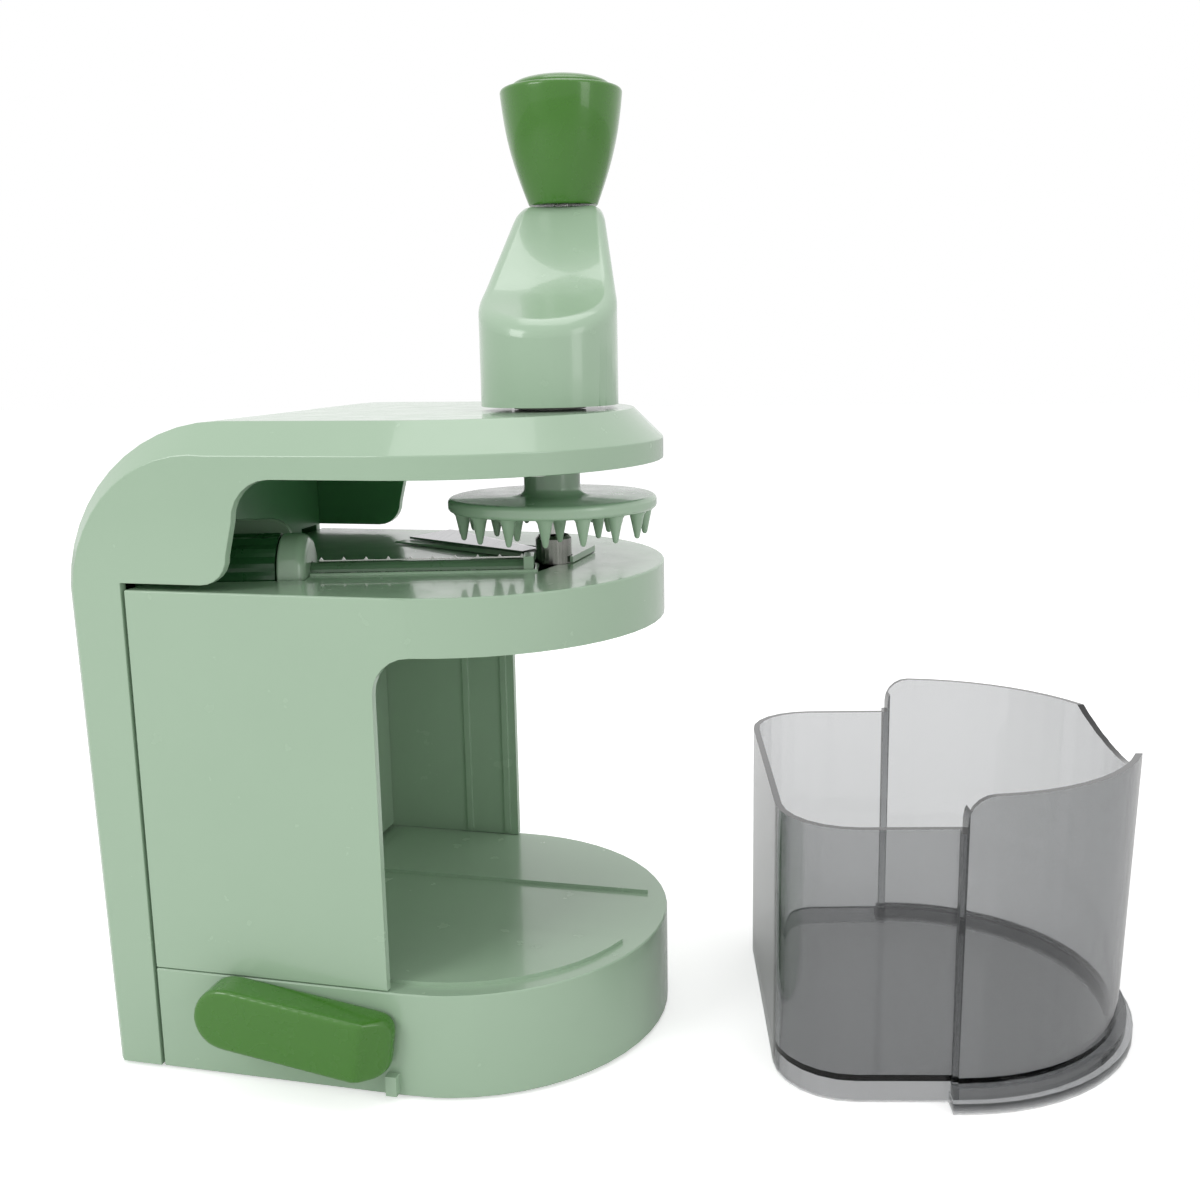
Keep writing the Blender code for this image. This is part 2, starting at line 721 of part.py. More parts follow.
def make_lift_yoke():
    """A bar that joins the stud to the cam on the lever's axle."""
    half_height, half_width = cam_window()
    cam_x, cam_z = cam_centre()
    low = yoke_low()
    high = cam_z + half_height + YOKE_MARGIN / 2
    rear = cam_x - half_width - YOKE_MARGIN
    front = 2 * STUD_RADIUS
    half = YOKE_WIDTH / 2
    outline = [(rear, low), (front, low), (front, cam_z), (cam_x + half_width + 2 * YOKE_MARGIN, cam_z),
               (cam_x + half_width + YOKE_MARGIN, high), (rear, high)]
    yoke = plate("lift_yoke", outline, -half, half, "Y", metal("lift_yoke"))
    window_low = (cam_x - half_width, -YOKE_WIDTH, cam_z - half_height)
    window_high = (cam_x + half_width, YOKE_WIDTH, cam_z + half_height)
    cut(yoke, box("yoke_window", window_low, window_high))
    return yoke


def lever_place():
    """The lever's own frame: X along the lever at rest, Y to the far side."""
    return Matrix.Translation((LEVER_PIVOT_X, 0.0, LEVER_PIVOT_Z)) @ Matrix.Rotation(LEVER_TILT, 4, "Y")


def make_suction_lever():
    """The leaf-green lever: a round heel on the axle and a blunt tip."""
    half = LEVER_HALF_HEIGHT
    tip = LEVER_REACH
    corner = LEVER_NOSE_ROUND
    outline = arc((0.0, 0.0), half, math.pi / 2, 3 * math.pi / 2, ROUND_STEPS // 2)
    outline += arc((tip - corner, corner - half), corner, -math.pi / 2, 0.0, 5)
    outline += arc((tip - corner, half - corner), corner, 0.0, math.pi / 2, 5)
    inner = -BODY_RADIUS - LEVER_GAP
    outer = inner - LEVER_THICKNESS
    lever = plate("suction_lever", outline, outer, inner, "Y", plastic("suction_lever", LEAF),
                  place=lever_place())
    round_edges(lever, LEVER_EDGE_ROUND, segments=2, angle=60.0)
    corner_cut = [(tip - LEVER_NOSE_RUN, outer - OVERCUT), (tip + OVERCUT, outer - OVERCUT),
                  (tip + OVERCUT, outer + LEVER_NOSE_DEPTH)]
    cut(lever, plate("lever_nose_cut", corner_cut, -2 * half, 2 * half, "Z", place=lever_place()))
    socket = (LEVER_PIVOT_X, inner - LEVER_SOCKET_DEPTH, LEVER_PIVOT_Z)
    cut(lever, cylinder("lever_socket", socket, LEVER_SOCKET_DEPTH + OVERCUT, AXLE_RADIUS + SEAM, "Y"))
    return lever


def make_lever_axle():
    """The axle through the base's side wall, with a round cam off its centre at the yoke."""
    start = -BODY_RADIUS - LEVER_GAP - LEVER_SOCKET_DEPTH + SEAM
    end = YOKE_WIDTH + SADDLE_THICKNESS
    axle = cylinder("lever_axle", (LEVER_PIVOT_X, start, LEVER_PIVOT_Z), end - start, AXLE_RADIUS, "Y",
                    metal("lever_axle"), steps=20)
    cam_x, cam_z = cam_centre()
    join(axle, cylinder("axle_cam", (cam_x, -YOKE_WIDTH / 2 - SEAM, cam_z), YOKE_WIDTH + 2 * SEAM,
                        CAM_RADIUS, "Y"))
    return axle


def make_axle_saddle():
    """A block under the base's top that holds the axle's inner end."""
    half = AXLE_RADIUS + SADDLE_MARGIN
    front = YOKE_WIDTH
    low = (LEVER_PIVOT_X - half, front, LEVER_PIVOT_Z - half)
    high = (LEVER_PIVOT_X + half, front + SADDLE_THICKNESS, BASE_TOP - WALL - SEAM)
    saddle = box("axle_saddle", low, high, plastic("axle_saddle", SAGE_DARK))
    bore = (LEVER_PIVOT_X, front - OVERCUT, LEVER_PIVOT_Z)
    cut(saddle, cylinder("saddle_bore", bore, SADDLE_THICKNESS + 2 * OVERCUT, AXLE_RADIUS + RUNNING_GAP,
                         "Y", steps=20))
    return saddle


def blade_place():
    """The blade's own frame: X along the cutting edge, Y under the blade, Z up from the deck.

    The open slot lies on the other side of the edge, at -Y.
    """
    return Matrix.Translation((*BLADE_START, DECK_TOP)) @ Matrix.Rotation(BLADE_DIRECTION, 4, "Z")


def blade_screw_places():
    """Where the blade's screws go, seen from above."""
    places = []
    for share in BLADE_SCREW_SHARES:
        place = blade_place() @ Vector((BLADE_LENGTH * share, BLADE_SCREW_INSET, 0.0))
        places.append((place.x, place.y))
    return places


def make_body_housing():
    """Side walls, rear wall and deck in one hollow moulding, open at the front as the bay."""
    housing = plate("body_housing", body_plan(), HOUSING_BOTTOM, DECK_TOP,
                    finish=plastic("body_housing", SAGE))
    round_edges(housing, EDGE_ROUND)
    cut(housing, plate("housing_cavity", body_plan(WALL), HOUSING_BOTTOM - OVERCUT, DECK_SKIN_UNDERSIDE))
    corner = (BAY_CORNER - BAY_FRONT, BAY_CEILING - BAY_CORNER)
    bay = [(-BAY_FRONT, 0.0)] + arc(corner, BAY_CORNER, math.pi, math.pi / 2, 6)
    bay += [(BODY_RADIUS + BEYOND, BAY_CEILING), (BODY_RADIUS + BEYOND, 0.0)]
    cut(housing, plate("bay_front", bay, -2 * BODY_RADIUS, 2 * BODY_RADIUS, "Y"))
    inside = BODY_RADIUS - WALL
    for number, rib_x in enumerate(BAY_RIB_PLACES):
        for side in (-1, 1):
            reach = sorted((side * (inside - BAY_RIB_RISE), side * (inside + WALL / 2)))
            rib = box(f"bay_rib_{number}_{side + 1}", (-rib_x - BAY_RIB_WIDTH / 2, reach[0],
                                                       HOUSING_BOTTOM + PAD_RISE),
                      (-rib_x + BAY_RIB_WIDTH / 2, reach[1], BAY_CEILING - SEAM - WALL))
            join(housing, rib)
    pocket_rear = -KNOB_REAR - 2 * SEAM
    pocket_front = collar_front() + COLLAR_GAP
    rim = TROUGH_HALF_WIDTH + TRAY_WALL
    low = DECK_TOP - WALL / 2
    join(housing, across_deck(box("trough_rim", (pocket_front - OVERCUT, -rim, low),
                                  (comb_end() + TRAY_WALL, rim, DECK_TOP + TROUGH_RIM))))
    hood_side = POCKET_HALF_WIDTH + HOOD_THICKNESS
    hood = plate("knob_hood", hood_outline(low), POCKET_HALF_WIDTH - OVERCUT, hood_side, "Y")
    join(housing, across_deck(hood))
    cut(housing, across_deck(box("knob_pocket", (pocket_rear, -POCKET_HALF_WIDTH, BAY_CEILING),
                                 (pocket_front, POCKET_HALF_WIDTH, DECK_TOP + BEYOND))))
    slot_half = TROUGH_HALF_WIDTH
    cut(housing, across_deck(box("comb_slot", (pocket_front - OVERCUT, -slot_half, BAY_CEILING),
                                 (comb_end() + SEAM, slot_half, DECK_TOP + BEYOND))))
    cut(housing, slot_tool("deck_slot"))
    cut(housing, cylinder("deck_bore", (TUBE_X, 0, BAY_CEILING), DECK_DEPTH + OVERCUT, TUBE_RADIUS + SEAM))
    holes = bmesh.new()
    hole = BLADE_SCREW_RADIUS + SEAM
    for x, y in blade_screw_places():
        add_cone(holes, (x, y, BAY_CEILING), DECK_DEPTH + OVERCUT, hole, hole, "Z", SMALL_STEPS)
    cut(housing, finish_mesh("deck_screw_holes", holes, None))
    return housing


def across_deck(piece):
    """Put a piece that was made in the selector's own frame in its place on the deck."""
    return settle(piece, selector_place())


def selector_place():
    """The selector's own frame: X along the combs to the tube, Y across them."""
    return Matrix.Translation((0.0, SELECTOR_Y, 0.0)) @ Matrix.Rotation(SELECTOR_SLANT, 4, "Z")


def hood_outline(low):
    """The rounded fin beside the selector's knob, as (x, z)."""
    rear = -KNOB_REAR
    front = -KNOB_REAR + KNOB_LENGTH
    high = DECK_TOP + HOOD_RISE - HOOD_ROUND
    outline = [(rear, low), (front, low)]
    outline += arc((front - HOOD_ROUND, high), HOOD_ROUND, 0.0, math.pi / 2, 5)
    outline += arc((rear + HOOD_ROUND, high), HOOD_ROUND, math.pi / 2, math.pi, 5)
    return outline


def slot_tool(name):
    """The three-cornered slot in front of the blade's edge."""
    corners = [(SLOT_MARGIN, -SEAM), (BLADE_LENGTH - SLOT_MARGIN, -SEAM), (-SLOT_MARGIN, -SLOT_WIDTH)]
    return plate(name, corners, -DECK_DEPTH - BEYOND / 3, OVERCUT, "Z", place=blade_place())


def make_deck_underplate():
    """A flat cover that closes the deck from below, with the strands' slot in it."""
    cover = plate("deck_underplate", body_plan(WALL + SEAM, rear=BAY_REAR + WALL), BAY_CEILING,
                  BAY_CEILING + UNDERPLATE_THICKNESS, finish=plastic("deck_underplate", SAGE_DARK))
    cut(cover, slot_tool("cover_slot"))
    cut(cover, cylinder("cover_bore", (TUBE_X, 0, BAY_CEILING - OVERCUT),
                        UNDERPLATE_THICKNESS + 2 * OVERCUT,
                        TUBE_RADIUS + SEAM))
    return cover


def make_bay_rear_wall():
    """The wall behind the container, with a raised lower panel."""
    half = BAY_HALF_WIDTH - SEAM
    rear = -BAY_REAR - BACK_PANEL_THICKNESS
    wall = box("bay_rear_wall", (rear, -half, HOUSING_BOTTOM + PAD_RISE),
               (-BAY_REAR, half, BAY_CEILING - SEAM),
               plastic("bay_rear_wall", SAGE))
    half -= BACK_PANEL_MARGIN
    join(wall, box("back_panel", (-BAY_REAR - BACK_PANEL_RISE, -half, HOUSING_BOTTOM + 2 * PAD_RISE),
                   (-BAY_REAR + BACK_PANEL_RISE, half, HOUSING_BOTTOM + BACK_PANEL_HEIGHT)))
    return wall


def make_blade_ramp():
    """The wedge that lifts the blade off the deck and reaches round the tube."""
    outer = BLADE_LENGTH
    outline = [(0.0, 0.0), (outer, 0.0), (outer, RAMP_OUTER_DEPTH), RAMP_TUBE_CORNER, RAMP_NOSE_CORNER,
               RAMP_FAR_CORNER]
    ramp = plate("blade_ramp", outline, SEAM, SEAM + 2 * RAMP_RISE, finish=plastic("blade_ramp", SAGE),
                 place=blade_place())
    top = SEAM + RAMP_RISE
    section = [(-BEYOND, -OVERCUT), (BEYOND, -OVERCUT), (BEYOND, top - RAMP_FALL * BEYOND), (0.0, top),
               (-BEYOND, top)]
    keep_inside(ramp, plate("ramp_section", section, -BEYOND, outer + BEYOND, "X", place=blade_place()))
    run = outer - RAMP_TUBE_CORNER[0]
    slant = math.atan2(RAMP_OUTER_DEPTH - RAMP_TUBE_CORNER[1], run)
    face_place = blade_place() @ Matrix.Translation((*RAMP_TUBE_CORNER, SEAM))
    face_place = face_place @ Matrix.Rotation(slant, 4, "Z")
    face = [(RAMP_FACE, -RAMP_RISE), (-2 * RAMP_FACE, 2 * RAMP_RISE), (BEYOND, 2 * RAMP_RISE),
            (BEYOND, -RAMP_RISE)]
    cut(ramp, plate("ramp_face", face, -BEYOND, outer + BEYOND, "X", place=face_place))
    cut(ramp, cylinder("ramp_bore", (TUBE_X, 0, BAY_CEILING), BEYOND, TUBE_RADIUS + SEAM))
    cut(ramp, screw_holes("ramp_holes"))
    return ramp


def screw_holes(name):
    bm = bmesh.new()
    radius = BLADE_SCREW_RADIUS + SEAM
    for x, y in blade_screw_places():
        add_cone(bm, (x, y, DECK_TOP - OVERCUT), BEYOND, radius, radius, "Z", SMALL_STEPS)
    return finish_mesh(name, bm, None)


def ramp_height(across):
    """Height of the ramp's upper face above the deck, at a distance from the blade's edge."""
    return SEAM + RAMP_RISE - RAMP_FALL * across


def make_main_blade():
    """The flat blade on its ramp, wider at the outer end; its ground edge stands over the slot."""
    edge = -BLADE_OVERHANG
    ground = BLADE_OVERHANG
    sections = []
    for run, width in ((SLOT_MARGIN, BLADE_INNER_WIDTH), (BLADE_LENGTH - SLOT_MARGIN, BLADE_OUTER_WIDTH)):
        under = [(across, ramp_height(across) + SEAM) for across in (edge, width)]
        over = [(across, ramp_height(across) + SEAM + BLADE_THICKNESS) for across in (width, ground)]
        sections.append([(run, across, z) for across, z in (*under, *over,
                                                            (edge, under[0][1] + BLADE_EDGE))])
    return settle(loft("main_blade", sections, metal("main_blade")), blade_place())


def make_blade_screws():
    """The screws that hold the ramp from inside the deck."""
    shank_low = DECK_SKIN_UNDERSIDE - SEAM
    shank_top = DECK_TOP + ramp_height(BLADE_SCREW_INSET + BLADE_SCREW_RADIUS) - SEAM
    for number, place in enumerate(blade_screw_places(), start=1):
        make_screw(f"blade_screw_{number}", place, shank_low - SCREW_HEAD_HEIGHT, BLADE_SCREW_RADIUS,
                   shank_top - shank_low, head_radius=BLADE_SCREW_HEAD)


def make_core_tube():
    """The steel tube that cores the vegetable, open from top to bottom."""
    low = BAY_CEILING - TUBE_TAIL
    high = DECK_TOP + TUBE_RISE
    lip = (TUBE_RADIUS - TUBE_BORE) / 2
    profile = [(TUBE_BORE + 0.2 * lip, high), (TUBE_RADIUS, high - 2 * lip), (TUBE_RADIUS, low),
               (TUBE_BORE, low),
               (TUBE_BORE, high - lip)]
    return turned("core_tube", profile, (TUBE_X, 0, 0), metal("core_tube"), closed=True)


def make_tube_nut():
    """The six-sided nut that holds the tube under the deck."""
    high = BAY_CEILING - SEAM
    outline = moved(ring(NUT_RADIUS, 6), TUBE_X, 0.0)
    nut = plate("tube_nut", outline, high - NUT_HEIGHT, high, finish=plastic("tube_nut", SAGE_DARK))
    cut(nut, cylinder("nut_bore", (TUBE_X, 0, high - NUT_HEIGHT - OVERCUT), NUT_HEIGHT + 2 * OVERCUT,
                      TUBE_RADIUS + SEAM))
    return nut


def collar_front():
    return -KNOB_REAR + KNOB_LENGTH + COLLAR_GAP + COLLAR_LENGTH


def comb_end():
    """The front end of the comb's rod."""
    return COMB_FIRST_TOOTH + COMB_SPAN + 2 * COMB_BACK_HEIGHT + BEARING_LENGTH


def make_selector_cradle():
    """A tray under the deck that holds the knob's pocket and the comb's trough."""
    floor = COMB_Z - SELECTOR_KNOB_RADIUS - POCKET_CLEARANCE
    top = DECK_SKIN_UNDERSIDE - SEAM
    pocket_front = collar_front() + COLLAR_GAP
    half = POCKET_HALF_WIDTH
    outer = half + TRAY_WALL
    cradle = box("selector_cradle", (-BODY_REAR - BEYOND, -outer, floor - TRAY_WALL),
                 (pocket_front + TRAY_WALL, outer, top),
                 plastic("selector_cradle", SAGE_DARK))
    trough_floor = COMB_Z - COMB_TIP_RADIUS - TROUGH_CLEARANCE
    trough_half = TROUGH_HALF_WIDTH
    trough_outer = trough_half + TRAY_WALL
    join(cradle, box("trough", (pocket_front, -trough_outer, trough_floor - TRAY_WALL),
                     (comb_end() + TRAY_WALL, trough_outer, top)))
    cut(cradle, box("pocket_space", (-BODY_REAR - 2 * BEYOND, -half, floor),
                    (pocket_front, half, top + BEYOND)))
    cut(cradle, box("trough_space", (pocket_front - OVERCUT, -trough_half, trough_floor),
                    (comb_end() + SEAM, trough_half, top + BEYOND)))
    across_deck(cradle)
    return keep_inside(cradle, plate("cradle_plan", body_plan(WALL + SEAM), BAY_CEILING, DECK_TOP))


def make_selector_collar():
    """The fixed collar in front of the knob that holds the comb's rod."""
    rear = -KNOB_REAR + KNOB_LENGTH + COLLAR_GAP
    collar = cylinder("selector_collar", (rear, 0, COMB_Z), COLLAR_LENGTH, COLLAR_RADIUS, "X",
                      plastic("selector_collar", SAGE))
    round_edges(collar, COLLAR_ROUND, segments=2, angle=60.0)
    floor = COMB_Z - SELECTOR_KNOB_RADIUS - POCKET_CLEARANCE + SEAM
    half = COLLAR_FOOT_HALF_WIDTH
    foot_rear = rear + (COLLAR_LENGTH - COLLAR_FOOT_LENGTH) / 2
    join(collar, box("collar_foot", (foot_rear, -half, floor),
                     (foot_rear + COLLAR_FOOT_LENGTH, half, COMB_Z - COLLAR_RADIUS / 2)))
    cut(collar, cylinder("collar_bore", (rear - OVERCUT, 0, COMB_Z), COLLAR_LENGTH + 2 * OVERCUT,
                         COMB_ROD_RADIUS + RUNNING_GAP, "X", steps=PIN_STEPS))
    return across_deck(collar)


def make_selector_front_bearing():
    """The small block at the tube end of the comb's rod."""
    end = comb_end()
    start = end - BEARING_LENGTH
    floor = COMB_Z - COMB_TIP_RADIUS - TROUGH_CLEARANCE + SEAM
    block = box("selector_front_bearing", (start, -BEARING_RADIUS, floor),
                (end, BEARING_RADIUS, COMB_Z + BEARING_RADIUS),
                plastic("selector_front_bearing", SAGE))
    cut(block, cylinder("front_bore", (start - OVERCUT, 0, COMB_Z), BEARING_LENGTH + 2 * OVERCUT,
                        COMB_ROD_RADIUS + RUNNING_GAP, "X", steps=PIN_STEPS))
    return across_deck(block)


def make_comb_bar():
    """The rod that carries the three combs and the knob."""
    start = -KNOB_REAR + KNOB_END_WALL
    end = comb_end() - SEAM
    return across_deck(cylinder("comb_bar", (start, 0, COMB_Z), end - start, COMB_ROD_RADIUS, "X",
                                plastic("comb_bar", PINE), steps=PIN_STEPS))


def make_comb(name, pitch, turn):
    """One comb: a thin strip on the rod with teeth at a pitch, turned about the rod."""
    low = COMB_ROD_RADIUS + SEAM
    back = low + COMB_BACK_HEIGHT
    count = math.floor(COMB_SPAN / pitch + 0.01) + 1
    start = COMB_FIRST_TOOTH
    half = TOOTH_WIDTH / 2
    outline = [(start + COMB_SPAN + half, low)]
    for index in reversed(range(count)):
        centre = start + index * pitch
        outline += [(centre + half, back), (centre, COMB_TIP_RADIUS), (centre - half, back)]
    outline.append((start - half, low))
    place = Matrix.Translation((0, 0, COMB_Z)) @ Matrix.Rotation(turn, 4, "X")
    half_thickness = COMB_THICKNESS / 2
    comb = plate(name, outline, -half_thickness, half_thickness, "Y", metal(name), place=place)
    return across_deck(comb)


def make_selector_knob():
    """The fluted knob behind the collar that turns the combs."""
    outline = []
    steps = 4 * KNOB_FLUTES
    for index in range(steps):
        angle = math.tau * index / steps
        radius = SELECTOR_KNOB_RADIUS - KNOB_FLUTE_DEPTH * (1 - math.cos(KNOB_FLUTES * angle)) / 2
        outline.append((radius * math.cos(angle), COMB_Z + radius * math.sin(angle)))
    knob = plate("selector_knob", outline, -KNOB_REAR, -KNOB_REAR + KNOB_LENGTH, "X",
                 plastic("selector_knob", PINE))
    start = -KNOB_REAR + KNOB_END_WALL - SEAM
    cut(knob, cylinder("knob_bore", (start, 0, COMB_Z), KNOB_LENGTH, COMB_ROD_RADIUS + SEAM, "X",
                       steps=PIN_STEPS))
    return across_deck(knob)


def head_outer_path(wall):
    """Rear and top edge of the head as (x, z, way in x, way in z, chamfer), set in by a wall."""
    radius = REAR_ARC - wall
    centre = (-HEAD_REAR + REAR_ARC, ARM_TOP - REAR_ARC)
    path = [(-HEAD_REAR_FOOT + wall, HEAD_FOOT - (OVERCUT if wall else 0.0), 1.0, 0.0, REAR_CHAMFER)]
    for step in range(REAR_ARC_STEPS + 1):
        share = step / REAR_ARC_STEPS
        angle = math.pi * (1 - share / 2)
        chamfer = REAR_CHAMFER + (TOP_CHAMFER - REAR_CHAMFER) * share - 0.5 * wall
        path.append((centre[0] + radius * math.cos(angle), centre[1] + radius * math.sin(angle),
                     -math.cos(angle), -math.sin(angle), chamfer))
    path.append((BODY_RADIUS + BEYOND, ARM_TOP - wall, 0.0, -1.0, TOP_CHAMFER - 0.5 * wall))
    return path


def cheek_path():
    """Inner edge of the C from the nose back over the cheek and down the rear strip, as (x, z)."""
    reach = CHEEK_REACH
    top_round = CHEEK_TOP_ROUND
    foot_round = CHEEK_FOOT_ROUND
    path = [(BODY_RADIUS + BEYOND, ARM_UNDERSIDE)]
    path += arc((top_round - reach, ARM_UNDERSIDE - top_round), top_round, math.pi / 2, math.pi, 6)
    path += arc((-reach - CHEEK_STEP - foot_round, CHEEK_FOOT + foot_round), foot_round, 0.0,
                -math.pi / 2, 6)
    path += [(-STRIP_FRONT, CHEEK_FOOT), (-STRIP_FRONT, HEAD_FOOT)]
    return path


def side_form(name, outer, inner, half_width):
    """A profile carried across the body, its outer edges chamfered at both sides."""
    bm = bmesh.new()

    def layer(side, at_edge):
        verts = []
        for x, z, way_x, way_z, chamfer in outer:
            step = chamfer if at_edge else 0.0
            y = side * (half_width - (0.0 if at_edge else chamfer))
            verts.append(bm.verts.new((x + way_x * step, y, z + way_z * step)))
        return verts

    near_edge, near, far, far_edge = layer(-1, True), layer(-1, False), layer(1, False), layer(1, True)
    near_inner = [bm.verts.new((x, -half_width, z)) for x, z in inner]
    far_inner = [bm.verts.new((x, half_width, z)) for x, z in inner]
    loops = [near_edge + near_inner, near + near_inner, far + far_inner, far_edge + far_inner]
    for lower, upper in zip(loops, loops[1:]):
        for i in range(len(lower)):
            j = (i + 1) % len(lower)
            corners = []
            for vert in (lower[i], lower[j], upper[j], upper[i]):
                if vert not in corners:
                    corners.append(vert)
            if len(corners) > 2:
                bm.faces.new(corners)
    bm.faces.new(reversed(loops[0]))
    bm.faces.new(loops[-1])
    bmesh.ops.triangulate(bm, faces=[f for f in bm.faces if len(f.verts) == 4])
    return finish_mesh(name, bm, None)


def nose_form(name, inset, chamfer, low, high):
    """The body plan with a chamfered top, its straight sides opened a little to the rear."""
    far = 2 * BODY_REAR
    flare = OVERCUT

    def outline(extra, z):
        radius = BODY_RADIUS - inset - extra + SEAM / 10
        points = arc((0.0, 0.0), radius, -math.pi / 2, math.pi / 2, NOSE_STEPS)
        points += [(-far, radius + flare), (-far, -radius - flare)]
        return [(x, y, z) for x, y in points]

    return loft(name, [outline(0.0, low), outline(0.0, high - chamfer),
                       outline(chamfer + OVERCUT, high + OVERCUT)])


def cover_post_places():
    """Where the arm's cover is screwed to the shell, seen from above."""
    reach = BODY_RADIUS - COVER_POST_INSET
    front = reach * math.cos(COVER_POST_ANGLE)
    front_side = reach * math.sin(COVER_POST_ANGLE)
    side = BODY_RADIUS - COVER_POST_SIDE_INSET
    return [(front, front_side), (front, -front_side), (-COVER_POST_REAR, side), (-COVER_POST_REAR, -side)]


def head_opening():
    """Where the head is open towards the deck and the housing, as (x, z)."""
    return [(BODY_RADIUS + BEYOND, DECK_TOP), (0.0, HEAD_FOOT - OVERCUT)]


def make_lift_shell():
    """The C-shaped shell: arm on top, cheeks beside the deck and a strip down the rear."""
    shell = side_form("lift_shell", head_outer_path(0.0), cheek_path(), BODY_RADIUS)
    shell.data.materials.append(plastic("lift_shell", SAGE))
    keep_inside(shell, nose_form("head_nose", 0.0, TOP_CHAMFER, -BEYOND, ARM_TOP))
    cavity = side_form("head_cavity", head_outer_path(HEAD_WALL), head_opening(), BODY_RADIUS - HEAD_WALL)
    keep_inside(cavity, nose_form("cavity_nose", HEAD_WALL, TOP_CHAMFER - HEAD_WALL / 2, -2 * BEYOND,
                                  ARM_ROOF))
    cut(shell, cavity)
    posts = bmesh.new()
    bores = bmesh.new()
    low = ARM_UNDERSIDE + COVER_THICKNESS + SEAM
    bore = COVER_SCREW_RADIUS + SEAM
    for x, y in cover_post_places():
        add_cone(posts, (x, y, low), ARM_ROOF - low + HEAD_WALL / 2, COVER_POST_RADIUS,
                 COVER_POST_RADIUS, "Z", SMALL_STEPS)
        add_cone(bores, (x, y, ARM_UNDERSIDE), ARM_ROOF - ARM_UNDERSIDE, bore, bore, "Z", SMALL_STEPS)
    join(shell, finish_mesh("cover_posts", posts, None))
    cut(shell, finish_mesh("post_bores", bores, None))
    cut(shell, cylinder("roof_bore", (TUBE_X, 0, ARM_ROOF - OVERCUT), HEAD_WALL + 2 * OVERCUT,
                        SPINDLE_RADIUS + 2 * RUNNING_GAP))
    return shell


def make_arm_cover():
    """The plate under the arm, which turns down behind the selector knob."""
    low = ARM_UNDERSIDE
    high = low + COVER_THICKNESS
    round_low = COVER_ROUND
    corner = (round_low - COVER_REAR, low - round_low)
    foot = CHEEK_FOOT
    section = [(BODY_RADIUS + BEYOND, low)] + arc(corner, round_low, math.pi / 2, math.pi, 5)
    section += [(-COVER_REAR, foot), (-COVER_REAR - COVER_THICKNESS, foot)]
    section += arc(corner, round_low + COVER_THICKNESS, math.pi, math.pi / 2, 5)
    section.append((BODY_RADIUS + BEYOND, high))
    cover = plate("arm_cover", section, -BODY_RADIUS, BODY_RADIUS, "Y", plastic("arm_cover", PINE))
    inside = HEAD_WALL + SEAM
    limit = side_form("cover_limit", head_outer_path(inside), head_opening(), BODY_RADIUS - inside)
    keep_inside(limit, nose_form("cover_nose", inside, TOP_CHAMFER - inside / 2, -2 * BEYOND,
                                 ARM_TOP - inside))
    keep_inside(cover, limit)
    holes = bmesh.new()
    hole = COVER_SCREW_RADIUS + SEAM
    for x, y in cover_post_places():
        add_cone(holes, (x, y, low - OVERCUT), COVER_THICKNESS + 2 * OVERCUT, hole, hole, "Z", SMALL_STEPS)
    neck = SPINDLE_RADIUS + 2 * RUNNING_GAP
    add_cone(holes, (TUBE_X, 0, low - OVERCUT), COVER_THICKNESS + 2 * OVERCUT, neck, neck, "Z", ROUND_STEPS)
    cut(cover, finish_mesh("cover_holes", holes, None))
    return cover


def make_cover_screws():
    head_low = ARM_UNDERSIDE - SEAM - SCREW_HEAD_HEIGHT
    screws = []
    for number, place in enumerate(cover_post_places(), start=1):
        screws.append(make_screw(f"cover_screw_{number}", place, head_low, COVER_SCREW_RADIUS,
                                 COVER_SCREW_LENGTH))
    return screws


def make_spindle_bush():
    """The bearing sleeve between the arm's cover and its roof."""
    low = ARM_UNDERSIDE + COVER_THICKNESS + SEAM
    high = ARM_ROOF - SEAM
    bore = SPINDLE_RADIUS + RUNNING_GAP
    profile = [(BUSH_RADIUS, high), (BUSH_RADIUS, low), (bore, low), (bore, high)]
    return turned("spindle_bush", profile, (TUBE_X, 0, 0), material("spindle_bush", BRONZE, 0.5),
                  closed=True)


def make_rear_column():
    """The fixed column behind the housing, with brackets that hold both rods."""
    half = COLUMN_HALF_WIDTH
    column = box("rear_column", (-COLUMN_REAR, -half, COLUMN_FOOT), (-COLUMN_FRONT, half, COLUMN_TOP),
                 plastic("rear_column", SAGE_DARK))
    join(column, box("column_seat", (-COLUMN_FRONT - COLUMN_PLATE / 2, -half, HOUSING_BOTTOM + WALL),
                     (-BODY_REAR - SEAM, half, DECK_TOP - WALL)))
    reach = ROD_X + ROD_RADIUS + BUFFER_WALL
    for side in (-1, 1):
        sides = (side * ROD_Y - BRACKET_HALF_WIDTH, side * ROD_Y + BRACKET_HALF_WIDTH)
        for level, low in (("foot", COLUMN_FOOT), ("head", COLUMN_TOP - BRACKET_HEIGHT)):
            join(column, box(f"bracket_{level}_{side + 1}", (-reach, sides[0], low),
                             (-COLUMN_REAR + COLUMN_PLATE / 2, sides[1], low + BRACKET_HEIGHT)))
    holes = bmesh.new()
    hole = ROD_RADIUS + SEAM
    for side in (-1, 1):
        add_cone(holes, (-ROD_X, side * ROD_Y, COLUMN_FOOT + BRACKET_HEIGHT / 2), COLUMN_TOP, hole,
                 hole, "Z",
                 PIN_STEPS)
    cut(column, finish_mesh("rod_holes", holes, None))
    return column


def make_guide_rod(name, side):
    low = COLUMN_FOOT + BRACKET_HEIGHT / 2 + SEAM
    return cylinder(name, (-ROD_X, side * ROD_Y, low), COLUMN_TOP - low, ROD_RADIUS, "Z", metal(name),
                    steps=PIN_STEPS)


